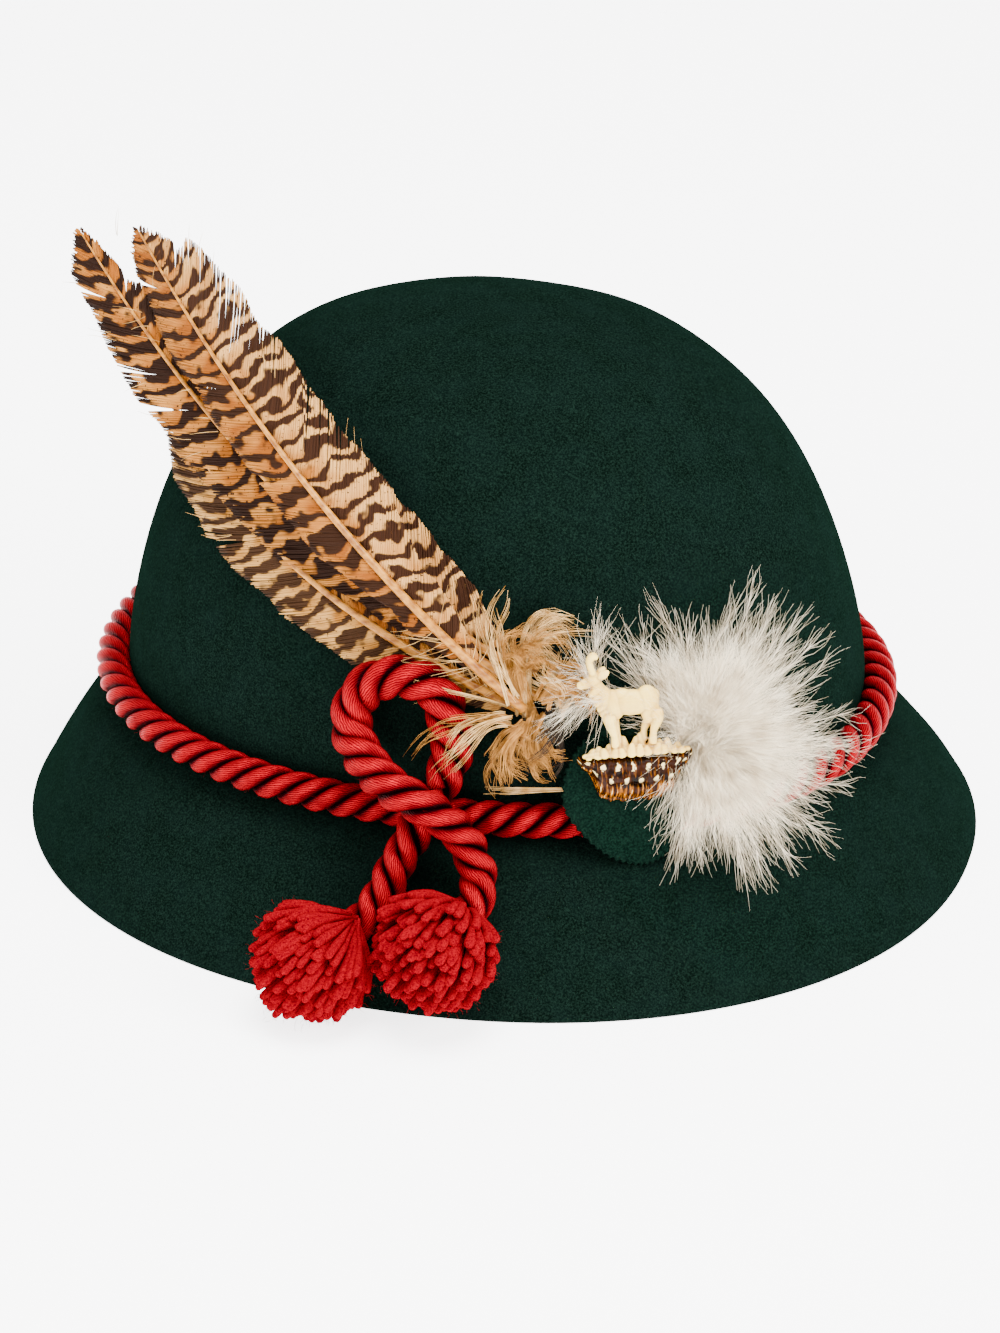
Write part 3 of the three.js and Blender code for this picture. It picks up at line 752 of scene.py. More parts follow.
@dataclass(frozen=True)
class BrownResin:
    """Cast resin painted dark brown with golden streaks and cream dabs, under a clear gloss.

    Its pattern place is the distance forward and down from the middle of the top edge, in millimetres.
    """

    name: str = "painted brown resin"
    dark: str = "080200"
    brown: str = "260D01"
    gold: str = "8C4E06"
    cream: str = "E8CE8E"
    paint_edge_mm: float = 7.6
    lump_mm: float = 4.03
    first_lump: float = 20.8
    first_row: float = -1.9
    cloud_per_mm: float = 0.42
    streak_stretch: tuple = (1.5, 0.16, 1.0)
    brown_range: tuple = (0.35, 0.62)
    gold_range: tuple = (0.56, 0.72)
    dab_range: tuple = (1.55, 1.68)
    line_range: tuple = (0.64, 0.69)

    def build(self) -> bpy.types.Material:
        """Make the material.

        Returns:
            The material.
        """
        resin = Shading(self.name)
        edge = self.paint_edge_mm
        place = resin.add(Kind.PLACE).outputs["Object"]
        spot = resin.add(Kind.SPOT, uv_map=PATTERN)
        forward, down = resin.add(Kind.SPLIT, [spot]).outputs[:2]
        stretch = resin.add(Kind.STRETCH, {"Vector": spot, "Scale": self.streak_stretch})
        grain = {"Scale": 1.0, "Detail": 3.0, "Roughness": 0.6}
        streak = resin.add(Kind.NOISE, {"Vector": stretch, **grain})
        keel = resin.add(Kind.RANGE, [down, edge, edge + 1.2])
        keel_streak = resin.add(Kind.MATH, [keel, 0.1, streak], operation="MULTIPLY_ADD")
        cloud = resin.add(Kind.NOISE, {"Vector": place, "Scale": self.cloud_per_mm / MM, "Detail": 2.0})
        brown_share = resin.add(Kind.RANGE, [cloud, *self.brown_range])
        gold_share = resin.add(Kind.RANGE, [keel_streak, *self.gold_range])
        body = resin.add(Kind.MIX, {0: brown_share, 6: self.dark, 7: self.brown}, data_type="RGBA")
        colour = resin.add(Kind.MIX, {0: gold_share, 6: body, 7: self.gold}, data_type="RGBA")
        drip = resin.add(Kind.NOISE, {"Vector": spot, "Scale": 0.7, "Detail": 1.0, "Distortion": 0.8})
        # A dab of cream sits on each lump, where a wave along the base and one down it both stand high
        column = [forward, FULL_TURN / self.lump_mm, self.first_lump]
        row = [down, math.pi / self.lump_mm, self.first_row]
        phases = [resin.add(Kind.MATH, wave, operation="MULTIPLY_ADD") for wave in (column, row)]
        waves = [resin.add(Kind.MATH, [phase], operation="COSINE") for phase in phases]
        dab = resin.add(Kind.MATH, waves, operation="MULTIPLY")
        dabs = resin.add(Kind.MATH, [drip, 1.9, dab], operation="MULTIPLY_ADD")
        dab_share = resin.add(Kind.RANGE, [dabs, *self.dab_range])
        upper = resin.add(Kind.RANGE, [down, edge, edge - 1.5])
        paint = resin.add(Kind.MATH, [dab_share, upper], operation="MULTIPLY")
        line = resin.add(Kind.RANGE, [streak, *self.line_range])
        lines = resin.add(Kind.MATH, [line, keel], operation="MULTIPLY")
        cream_share = resin.add(Kind.MATH, [paint, lines], operation="MAXIMUM")
        painted = resin.add(Kind.MIX, {0: cream_share, 6: colour, 7: self.cream}, data_type="RGBA")
        return resin.close(
            resin.add(Kind.SHADER, {"Base Color": painted, "Roughness": 0.26, "Specular IOR Level": 0.07})
        )


# Form of the felt, on which everything else sits


@dataclass(frozen=True)
class FeltForm:
    """Outer face of the felt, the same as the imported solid's. Millimetres.

    A place on it is an angle from the front and a share: -1 at the brim edge, 0 at the band, 1 on top.
    """

    head_length: float = 200.0
    head_width: float = 153.0
    oval_power: float = 2.12
    thickness: float = 2.5
    wall_rise: float = 8.0
    dome_rise: float = 105.5
    side_power: float = 3.1
    top_power: float = 1.55
    pinch: float = 1.5
    brim_drop: float = 39.0
    brim_front: float = 34.5
    brim_back: float = 29.5
    brim_side: float = 38.0
    brim_curl: float = 1.5
    wall_share: float = 0.06

    def oval(self, angle: np.ndarray) -> tuple[np.ndarray, np.ndarray]:
        """Shape of the head's oval.

        Args:
            angle: angles from the front, in radians.

        Returns:
            The factors along and across the hat.
        """
        power = 2 / self.oval_power
        along, across = np.cos(angle), np.sin(angle)
        return np.sign(along) * np.abs(along) ** power, np.sign(across) * np.abs(across) ** power

    @property
    def centre(self) -> float:
        """Where the head's middle lies along X."""
        return (self.brim_back - self.brim_front) / 2

    def point(self, angle: np.ndarray, share: np.ndarray) -> np.ndarray:
        """Points on the outer face.

        Args:
            angle: angles from the front, in radians.
            share: shares from the edge to the top.

        Returns:
            The points.
        """
        along, across = self.oval(angle)
        out = np.minimum(share, 0)
        ends = (self.brim_front + self.brim_back) / 2 + (self.brim_front - self.brim_back) / 2 * np.cos(angle)
        climb = np.clip(share / self.wall_share, 0, 1)
        lean = self.pinch * (0.5 - 0.5 * np.cos(np.pi * climb))
        turn = np.clip((share - self.wall_share) / (1 - self.wall_share), 0, 1) * np.pi / 2
        narrow = np.maximum(np.cos(turn), 0) ** (2 / self.side_power)
        rise = self.dome_rise * np.sin(turn) ** (2 / self.top_power)
        length = (self.head_length / 2 + self.thickness + lean) * narrow - ends * out
        width = (self.head_width / 2 + self.thickness + lean) * narrow - self.brim_side * out
        height = self.brim_drop * (1 - (-out) ** self.brim_curl) + self.wall_rise * climb + rise
        return np.stack(np.broadcast_arrays(self.centre + length * along, width * across, height), axis=-1)

    def normal(self, angle: np.ndarray, share: np.ndarray) -> np.ndarray:
        """Outward directions of the outer face.

        Args:
            angle: angles from the front, in radians.
            share: shares from the edge to the top.

        Returns:
            The directions.
        """
        step = 0.01
        around = self.point(angle + step, share) - self.point(angle - step, share)
        upper = self.point(angle, np.minimum(share + step, 1.0))
        lower = self.point(angle, np.maximum(share - step, -1.0))
        return unit(np.cross(around, upper - lower))

    def off(self, degrees: np.ndarray, share: np.ndarray, out: np.ndarray) -> np.ndarray:
        """Points at a distance off the outer face.

        Args:
            degrees: angles from the front, in degrees.
            share: shares from the edge to the top.
            out: distances in millimetres.

        Returns:
            The points.
        """
        angle = np.radians(np.asarray(degrees, float))
        share = np.asarray(share, float)
        return self.point(angle, share) + self.normal(angle, share) * np.asarray(out, float)[..., None]

    def seat(self, degrees: float, share: float, out: float) -> np.ndarray:
        """Frame on the felt: forward round the hat, up, out, and the origin.

        Args:
            degrees: angle from the front, in degrees.
            share: share from the edge to the top.
            out: distance off the felt.

        Returns:
            Four rows: the three directions and the origin.
        """
        outward = self.normal(np.radians(degrees), np.array(share))
        upward = without(np.array([0.0, 0.0, 1.0]), outward)
        return np.array([np.cross(upward, outward), upward, outward, self.off(degrees, share, out)])


FORM = FeltForm()


# Sub-assemblies


@dataclass
class FeltHat:
    """Crown and brim, one piece of felt."""

    form: FeltForm = FORM
    columns: int = 220
    brim_rows: int = 26
    wall_rows: int = 6
    dome_rows: int = 54
    edge_round: float = 0.55
    wave_mm: float = 0.35
    floor_gap: float = 0.02
    first_share: float = -0.985
    last_share: float = 0.9992
    dome_ease: float = 1.7
    finish: WoolFelt = WoolFelt("pressed wool felt", "040B09", "0F1D17", "020604")

    def shares(self) -> np.ndarray:
        """Rows of the felt.

        Returns:
            Their shares, from just above the brim edge to the top.
        """
        brim = np.linspace(self.first_share, 0, self.brim_rows, endpoint=False)
        wall = np.linspace(0, self.form.wall_share, self.wall_rows, endpoint=False)
        ease = 1 - (1 - np.linspace(0, 1, self.dome_rows)) ** self.dome_ease
        dome = self.form.wall_share + (self.last_share - self.form.wall_share) * ease
        return np.concatenate([brim, wall, dome])

    def waved(self, points: np.ndarray, angle: np.ndarray, share: np.ndarray) -> np.ndarray:
        """Give the hand-blocked felt its slight unevenness, less of it at the edge and the band.

        Args:
            points: points of the face.
            angle: their angles in radians.
            share: their shares.

        Returns:
            The moved points.
        """
        swell = np.sin(3 * angle + 1.1) * np.sin(5.1 * share + 0.6) + 0.6 * np.sin(7 * angle + 9 * share)
        calm = np.clip(np.abs(share) * 4, 0, 1) * np.clip((share + 1) * 6, 0, 1)
        calm = calm * np.clip((1 - share) * 3, 0, 1)
        return points + self.form.normal(angle, share) * (self.wave_mm * swell * calm)[..., None]

    def build(self) -> bpy.types.Object:
        """Make the piece.

        Returns:
            The piece.
        """
        shares = self.shares()
        angles = np.arange(self.columns) / self.columns * 2 * np.pi
        share, angle = np.meshgrid(shares, angles, indexing="ij")
        outer = self.waved(self.form.point(angle, share), angle, share)
        inner = outer - self.form.normal(angle, share) * self.form.thickness
        inner[..., 2] = np.maximum(inner[..., 2], self.floor_gap)
        edge_share = np.full(self.columns, -1.0)
        rim = self.form.point(angles, edge_share)
        flat = self.form.normal(angles, edge_share) * [1, 1, 0]
        level = unit(flat)
        width = self.form.thickness / np.linalg.norm(flat, axis=-1, keepdims=True)
        lift = np.array([0, 0, 1.0])
        turn = self.edge_round
        # Steps inward and up, as shares of the rounding, which both corners of the cut edge follow
        steps = ((0.12, 0.5), (0.45, 0.12), (1.0, 0.0))
        outside = [rim - level * inward * turn + lift * high * turn for inward, high in steps]
        inside = [rim - level * (width - inward * turn) + lift * high * turn for inward, high in steps[::-1]]
        rows = np.concatenate([outer[::-1], np.array(outside + inside), inner])
        surface = Surface()
        surface.grid(rows[::-1], closed=True)
        surface.fan(rows[-1], False)
        surface.fan(rows[0], True)
        piece = surface.build("felt_hat", [self.finish.build()])
        return finish_piece(piece, Slot.HAT_FELT, "felt_body")


@dataclass
class RopeMaker:
    """Rope of three satin strands with a left-hand twist."""

    diameter: float = 9.0
    pitch: float = 23.0
    strands: int = 3
    corners: int = 16
    spacing: float = 1.1
    strand_swell: tuple = (1.06, 1.04)
    fuzz_per_mm: float = 2.2
    fuzz_width: float = 0.07
    fuzz_tip: float = 0.03

    @property
    def lay_radius(self) -> float:
        """Distance of a strand's middle from the rope's middle, at which the strands touch."""
        return self.diameter / 2 / (1 + math.sin(math.pi / self.strands))

    @property
    def strand_radius(self) -> float:
        """Radius of a strand."""
        return self.diameter / 2 - self.lay_radius

    def make(
        self,
        surface: Surface,
        line: np.ndarray,
        along: np.ndarray,
        sides: np.ndarray,
        ups: np.ndarray,
        girth: np.ndarray,
        closed: bool,
    ) -> None:
        """Lay the strands along a line.

        Args:
            surface: where they go.
            line: evenly spaced points of the rope's middle.
            along: how far along each point lies.
            sides: side directions of the rope's frames.
            ups: upward directions, such that side x up runs along the rope.
            girth: share of the rope's diameter at each point.
            closed: whether the rope is a ring.
        """
        length = along[-1] + (along[1] - along[0]) if closed else along[-1]
        turns = round(length / self.pitch) if closed else length / self.pitch
        for strand in range(self.strands):
            phase = 2 * np.pi * (strand / self.strands - turns * along / length)
            radial = np.cos(phase)[:, None] * sides + np.sin(phase)[:, None] * ups
            centre = line + radial * self.lay_radius * girth[:, None]
            if closed:
                tangent = unit(np.roll(centre, -1, axis=0) - np.roll(centre, 1, axis=0))
            else:
                tangent = unit(np.gradient(centre, axis=0))
            across = without(radial, tangent)
            upward = np.cross(tangent, across)
            # The strands press on each other, so each swells a little into the grooves between them
            section = circle(self.corners) * self.strand_radius * np.array(self.strand_swell)
            section = section[None, None] * girth[None, :, None, None]
            surface.sweep(centre[None], across[None], upward[None], section, along=along[None], closed=closed)

    def fuzz(
        self, surface: Surface, line: np.ndarray, sides: np.ndarray, ups: np.ndarray, rng: np.random.Generator
    ) -> None:
        """Add stray fibres that stand off the strands.

        Args:
            surface: where they go.
            line: points of the rope's middle.
            sides: side directions.
            ups: upward directions.
            rng: random numbers.
        """
        count = int(len(line) * self.spacing * self.fuzz_per_mm)
        at = rng.integers(1, len(line) - 1, count)
        turn = rng.uniform(0, 2 * np.pi, count)
        outward = np.cos(turn)[:, None] * sides[at] + np.sin(turn)[:, None] * ups[at]
        tangent = unit(line[at + 1] - line[at - 1])
        root = line[at] + outward * self.diameter * 0.4
        lean = tangent * rng.uniform(-1.6, 1.6, (count, 1)) + rng.normal(0, 0.4, (count, 3))
        bend = root + outward * rng.uniform(0.5, 0.9, (count, 1)) + lean * 0.5
        tip = root + outward * rng.uniform(0.5, 1.3, (count, 1)) + lean
        lines = bezier(root, bend, tip, np.linspace(0, 1, 4))
        lay_threads(surface, lines, self.fuzz_width, self.fuzz_tip, rng)


def lay_threads(
    surface: Surface,
    lines: np.ndarray,
    root_width: float | np.ndarray,
    tip_width: float | np.ndarray,
    rng: np.random.Generator,
    material: int = 0,
) -> None:
    """Add tapered threads of three corners along many lines.

    Args:
        surface: where they go.
        lines: lines by stations by 3.
        root_width: width at the start, for all or for each.
        tip_width: width at the end.
        rng: random numbers, for the way that the sections face.
        material: the number of the material.
    """
    tangents = unit(np.gradient(lines, axis=1))
    facing = unit(rng.normal(0, 1, (len(lines), 1, 3)))
    across = without(np.broadcast_to(facing, lines.shape), tangents)
    upward = np.cross(tangents, across)
    shares = np.linspace(0, 1, lines.shape[1])
    first = np.broadcast_to(np.asarray(root_width, float), (len(lines),))[:, None]
    last = np.broadcast_to(np.asarray(tip_width, float), (len(lines),))[:, None]
    radius = (first + (last - first) * shares) / 2
    section = circle(3)[None, None] * radius[:, :, None, None]
    surface.sweep(lines, across, upward, section, material=material)


@dataclass
class CordTrim:
    """Red cord: the ring round the crown, the bow's loop with the right tail, and the left tail."""

    form: FeltForm = FORM
    rope: RopeMaker = field(default_factory=RopeMaker)
    clearance: float = 0.3
    loop_route: tuple = (
        (5, -88, 54), (7, -86, 58), (8, -84, 65), (6, -82, 73), (3, -81, 79), (-4, -81, 82), (-11, -81, 81),
        (-17, -81, 77), (-20, -83, 70), (-18, -87, 64), (-11, -94, 60), (-4, -99, 58), (3, -101, 56),
        (9, -100, 52), (14, -98, 46), (17, -98, 40), (19, -99, 34), (19, -105, 29), (16, -113, 26),
        (12, -120, 23),
    )
    left_route: tuple = (
        (4, -89, 53), (3, -91, 51), (2, -93, 49), (1, -95, 46), (0, -97, 43), (-1, -98, 40), (-3, -99, 37),
        (-4, -101, 34), (-5, -103, 31), (-7, -106, 27), (-9, -109, 24), (-12, -113, 22), (-15, -117, 20),
        (-18, -120, 18), (-20, -124, 17),
    )
    ring_girth: float = 1.06
    bow_girth: float = 1.13
    loop_girth: float = 1.28
    slack_from: float = 52.0
    slack_rise: float = 10.0
    slack_way: tuple = (0.0, -0.8, 0.6)
    finish: SatinCord = field(default_factory=SatinCord)

    def ring(self, material: bpy.types.Material) -> bpy.types.Object:
        """Make the ring that lies in the corner of brim and crown.

        Args:
            material: the cord's material.

        Returns:
            The piece.
        """
        radius = self.rope.diameter / 2
        low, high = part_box("cord_band")
        reach = (high.x - low.x) / 2 / MM - self.form.head_length / 2 - self.form.thickness - radius
        angle = np.linspace(0, 2 * np.pi, 1440, endpoint=False)
        along, across = self.form.oval(angle)
        length = self.form.head_length / 2 + self.form.thickness + reach
        width = self.form.head_width / 2 + self.form.thickness + reach
        height = np.full_like(along, self.form.brim_drop + radius + 1.5 * self.clearance)
        ring = np.stack([self.form.centre + length * along, width * across, height], axis=-1)
        line, far = evenly(ring, self.rope.spacing, closed=True)
        tangent = unit(np.roll(line, -1, axis=0) - np.roll(line, 1, axis=0))
        up = np.broadcast_to(np.array([0.0, 0.0, 1.0]), line.shape)
        side = np.cross(up, tangent)
        surface = Surface()
        girth = np.full(len(line), self.ring_girth)
        self.rope.make(surface, line, far, side, np.cross(tangent, side), girth, True)
        self.rope.fuzz(surface, line, side, up, np.random.default_rng(11))
        return finish_piece(surface.build("cord_ring", [material]), Slot.CORD, "cord_band")

    def free_end(
        self, name: str, route: tuple, node: str, material: bpy.types.Material
    ) -> bpy.types.Object:
        """Make a free end of the cord, which runs into its pompom.

        Args:
            name: the piece's name.
            route: points of its middle.
            node: the solid that it stands for.
            material: the cord's material.

        Returns:
            The piece.
        """
        line, far = evenly(through(route), self.rope.spacing)
        # The cord is a little fuller in the slack loop, and lies that much further out
        slack = np.clip((line[:, 2] - self.slack_from) / self.slack_rise, 0, 1)
        girth = self.bow_girth + (self.loop_girth - self.bow_girth) * slack
        line = line + np.array(self.slack_way) * (girth - 1)[:, None] * self.rope.diameter / 2
        _, side, up = steady_frames(line, np.array([0.0, -1.0, 0.2]))
        surface = Surface()
        self.rope.make(surface, line, far, side, up, girth, False)
        self.rope.fuzz(surface, line, side, up, np.random.default_rng(len(route)))
        piece = finish_piece(surface.build(name, [material]), Slot.CORD, node)
        return piece

    def build(self, left_pompom: bpy.types.Object, right_pompom: bpy.types.Object) -> None:
        """Make all the cord.

        Args:
            left_pompom: the pompom on the left tail; not used.
            right_pompom: the pompom on the end of the loop's cord; not used.
        """
        material = self.finish.build()
        self.free_end("bow_cord", self.loop_route, "bow_loop", material)
        self.free_end("left_tail_cord", self.left_route, "tail_left", material)
        self.ring(material)


@dataclass
class Pompom:
    """Wool pompom: yarns that fan out from the tie at the cord's end, cut to a ball."""

    name: str
    node: str
    centre: tuple
    axis: tuple
    seed: int
    radius: float = 16.0
    tie_distance: float = 15.5
    yarn_width: float = 2.65
    yarns: int = 215
    widest: float = 1.95
    bulge: float = 0.3
    uneven_aim: float = 0.06
    uneven_reach: float = 0.07
    uneven_place: float = 0.5
    stations: tuple = (0.0, 0.3, 0.5, 0.65, 0.78, 0.88, 0.95, 0.985, 1.0)
    swell: tuple = (0.3, 0.55, 0.78, 0.92, 1.0, 1.02, 0.93, 0.72, 0.34)
    corners: int = 8
    ply_depth: float = 0.13
    ply_turn: float = 5.0
    hairs: int = 700
    hair_width: float = 0.1
    floor_gap: float = 0.4

    def build(self, material: bpy.types.Material) -> bpy.types.Object:
        """Make the piece.

        Args:
            material: the wool's material.

        Returns:
            The piece.
        """
        rng = np.random.default_rng(self.seed)
        middle = np.array(self.centre, float)
        axis = unit(np.array(self.axis, float))
        side = without(np.array([0.2, 0.3, 0.9]), axis)
        other = np.cross(axis, side)
        order = np.arange(self.yarns) + 0.5
        height = 1 - order / self.yarns * (1 - math.cos(self.widest))
        turn = order * GOLDEN_TURN
        spread = np.sqrt(1 - height**2)
        outward = np.cos(turn)[:, None] * side + np.sin(turn)[:, None] * other
        aim = height[:, None] * axis + spread[:, None] * outward
        aim = unit(aim + rng.normal(0, self.uneven_aim, (self.yarns, 3)))
        reach = self.radius * (1 + rng.normal(0, self.uneven_reach, (self.yarns, 1)))
        tie = middle - axis * self.tie_distance
        root = tie + aim * 0.8 + rng.normal(0, self.uneven_place, aim.shape)
        tip = middle + aim * reach
        bend = (root + tip) / 2 + outward * spread[:, None] * self.radius * self.bulge
        bend = bend + rng.normal(0, self.uneven_place, aim.shape)
        shares = np.array(self.stations)
        lines = bezier(root, bend, tip, shares)
        lines[..., 2] = np.maximum(lines[..., 2], self.floor_gap + self.yarn_width * 0.6)
        tangents = unit(np.gradient(lines, axis=1))
        across = without(np.broadcast_to(side, lines.shape), tangents)
        upward = np.cross(tangents, across)
        size = self.yarn_width / 2 * rng.uniform(0.85, 1.12, (self.yarns, 1)) * np.array(self.swell)
        # Two plies give the yarn a waist that turns along it
        round_yarn = np.arange(self.corners) / self.corners * 2 * np.pi
        ply = 1 + self.ply_depth * np.cos(2 * (round_yarn + self.ply_turn * shares[:, None]))
        section = circle(self.corners)[None, None] * (size[:, :, None] * ply[None])[..., None]
        surface = Surface()
        surface.sweep(lines, across, upward, section)
        picked = rng.integers(0, self.yarns, self.hairs)
        station = rng.integers(4, len(shares), self.hairs)
        start = lines[picked, station] + rng.normal(0, 0.9, (self.hairs, 3))
        way = unit(aim[picked] + rng.normal(0, 0.6, (self.hairs, 3)))
        end = start + way * rng.uniform(0.8, 2.6, (self.hairs, 1))
        curl = (start + end) / 2 + rng.normal(0, 0.45, (self.hairs, 3))
        hair = bezier(start, curl, end, np.linspace(0, 1, 4))
        hair[..., 2] = np.maximum(hair[..., 2], self.floor_gap)
        lay_threads(surface, hair, self.hair_width, self.hair_width / 2, rng)
        return finish_piece(surface.build(self.name, [material]), Slot.WOOL, self.node)


@dataclass(frozen=True)
class FeatherShape:
    """One feather. Shares of the longest feather's length and of the vane's full width, as in the solid."""

    name: str
    node: str
    angle: float
    share: float
    layer: float
    back: float
    inward: float
    up: float
    bow: tuple
    lower: float
    upper: float
    bare: float
    face: tuple
    lower_finish: BarredVane
    upper_finish: BarredVane
    seed: int
    splits: tuple = ()


# Name, pale, warm and dark colour, bar pitch, dark share, warm share and slope of the bars
CREAM_BARS = BarredVane("barred feather, cream vane", "C29052", "905418", "2A1508", 6.1, 0.5, 0.45, 1.25)
TAN_BARS = BarredVane("barred feather, tan vane", "A86C2A", "7A400E", "241105", 7.8, 0.52, 0.65, 0.55)
ORANGE_BARS = BarredVane("barred feather, orange vane", "AE7432", "84480F", "1C0C04", 8.6, 0.58, 0.65, 0.6)
BUFF_BARS = BarredVane("barred feather, buff vane", "BA8C4E", "8C581C", "301C0C", 6.2, 0.54, 0.5, 0.6)


@dataclass
class Feathers:
    """Four barred feathers, each a quill with two vanes of barbs."""

    form: FeltForm = FORM
    clearance: float = 0.3
    length: float = 200.0
    vane_width: float = 20.0
    quill: float = 3.0
    barb_spacing: float = 0.42
    barb_width: float = 0.56
    barb_depth: float = 0.12
    shoulder: float = 0.22
    shoulder_power: float = 0.7
    tip_power: float = 5.0
    edge_wave: float = 0.04
    droop: float = 1.2
    worn_from: float = 0.8
    worn_share: float = 0.3
    barb_taper: tuple = (1.0, 1.0, 1.0, 1.0, 1.0, 0.95, 0.5)
    slant_shares: tuple = (0.2, 0.6, 1.0)
    slant_degrees: tuple = (46, 40, 22)
    clump_tilt: float = 0.8
    barb_tilt: float = 0.5
    barbs_per_clump: int = 32
    least_barb: float = 0.6
    split_pull: float = 1.6
    split_reach: float = 0.025
    quill_taper: float = 0.86
    quill_end: float = 0.985
    strays: int = 34
    tip_strays: int = 14
    stray_width: float = 0.22
    stray_tip: float = 0.06
    shapes: tuple = (
        FeatherShape(
            "front_feather", "feather_front", -75, 0.285, 4.25, 0.67, 0.45, 0.43, (0.045, -0.295, 0.065),
            0.5, 0.85, 0.17, (-0.3, -0.75, 0.6), TAN_BARS, CREAM_BARS, 21, (0.45, 0.84),
        ),
        FeatherShape(
            "back_feather", "feather_back", -72.8, 0.3, 2.3, 0.775, 0.44, 0.405, (0.02, -0.235, -0.015),
            0.65, 0.4, 0.2, (-0.3, -0.75, 0.6), ORANGE_BARS, ORANGE_BARS, 22, (0.5, 0.62, 0.84),
        ),
        FeatherShape(
            "low_feather", "feather_low", -74, 0.265, 0.75, 0.58, 0.29, 0.255, (-0.095, -0.185, 0.04),
            0.6, 0.2, 0.1, (-0.35, -0.75, 0.5), BUFF_BARS, TAN_BARS, 23, (0.6,),
        ),
        FeatherShape(
            "short_feather", "feather_short", -73.1, 0.335, 0.5, 0.31, 0.085, 0.23, (0.03, -0.08, -0.08),
            0.1, 0.65, 0.12, (-0.3, -0.75, 0.6), CREAM_BARS, CREAM_BARS, 24, (),
        ),
    )

    def vane(self, share: np.ndarray, bare: float) -> np.ndarray:
        """Width of a vane as a share of its full width.

        Args:
            share: shares of the way along the quill.
            bare: share of the quill that is bare.

        Returns:
            The widths.
        """
        along = np.clip((share - bare) / (1 - bare), 0, 1)
        ripple = np.sin(27 * along + 40 * bare) + 0.6 * np.sin(44 * along + 90 * bare)
        wave = 1 + self.edge_wave * ripple
        blade = np.minimum(1, along / self.shoulder) ** self.shoulder_power
        return blade * np.sqrt(1 - along**self.tip_power) * wave

    def frames(self, shape: FeatherShape, shares: np.ndarray) -> tuple[np.ndarray, ...]:
        """Points, tangents, faces and upper sides along a quill.

        Args:
            shape: the feather.
            shares: shares of the way along it.

        Returns:
            The four rows of vectors.
        """
        root = self.form.off(shape.angle, shape.share, self.clearance + 1.7 * shape.layer)
        tip = root + np.array([-shape.back, shape.inward, shape.up]) * self.length
        bend = (root + tip) / 2 + np.array(shape.bow) * self.length
        points = bezier(root, bend, tip, shares)
        t = shares[:, None]
        tangents = unit(2 * (1 - t) * (bend - root) + 2 * t * (tip - bend))
        root_face = self.form.normal(np.radians(shape.angle), np.array(shape.share))
        faces = without(root_face * (1 - t) + np.array(shape.face) * t, tangents)
        return points, tangents, faces, np.cross(tangents, faces)

    def barb_reach(
        self, places: np.ndarray, slant: np.ndarray, full: float, total: float, bare: float
    ) -> np.ndarray:
        """How far from the quill slanted barbs meet the vane's outline, found by halving.

        Args:
            places: roots of the barbs along the quill.
            slant: their angles to the quill, in radians.
            full: the vane's full width.
            total: the quill's length.
            bare: share of the quill that is bare.

        Returns:
            The distances as shares of the full width.
        """
        low, high = np.zeros(len(places)), np.ones(len(places))
        for _ in range(18):
            width = (low + high) / 2
            ahead = (places + full * width / np.tan(slant)) / total
            inside = (self.vane(ahead, bare) > width) & (ahead < 1)
            low, high = np.where(inside, width, low), np.where(inside, high, width)
        # Near the base the outline is met twice, and the downy barbs there are given their width
        downy = np.clip(1 - (places / total - bare) / 0.12, 0, 1)
        return np.maximum(width, self.vane(places / total + 0.1, bare) * downy * 0.8)

    def barbs(self, surface: Surface, shape: FeatherShape, upper: bool, rng: np.random.Generator) -> None:
        """Lay the barbs of one vane.

        Args:
            surface: where they go.
            shape: the feather.
            upper: whether it is the upper vane.
            rng: random numbers.
        """
        full = self.vane_width * (shape.upper if upper else shape.lower)
        side = 1.0 if upper else -1.0
        fine = np.linspace(0, 1, 400)
        middle, _, _, _ = self.frames(shape, fine)
        reach = np.concatenate([[0], np.cumsum(np.linalg.norm(np.diff(middle, axis=0), axis=1))])
        total = reach[-1]
        first = max(shape.bare - 0.08, 0.04) * total
        places = np.arange(first, total * 0.997, self.barb_spacing)
        count = len(places)
        slant = np.radians(np.interp(places / total, self.slant_shares, self.slant_degrees))
        clump = np.cumsum(rng.random(count) < 1 / self.barbs_per_clump)
        tilt = rng.normal(0, np.radians(self.clump_tilt), clump[-1] + 1)[clump]
        slant = slant + tilt + rng.normal(0, np.radians(self.barb_tilt), count)
        width = self.barb_reach(places, slant, full, total, shape.bare)
        trim = 1 + rng.normal(0, 0.008, count) + rng.normal(0, 0.018, clump[-1] + 1)[clump]
        near_tip = np.clip((places / total - 0.86) / 0.14, 0, 1)
        trim -= near_tip * rng.uniform(0, 0.5, count)
        if upper:
            trim -= self.worn_share * np.clip((places / total - self.worn_from) / 0.03, 0, 1)
        width = full * width * trim
        kept = width > self.least_barb
        places, slant, width, clump = places[kept], slant[kept], width[kept], clump[kept]
        count = len(places)
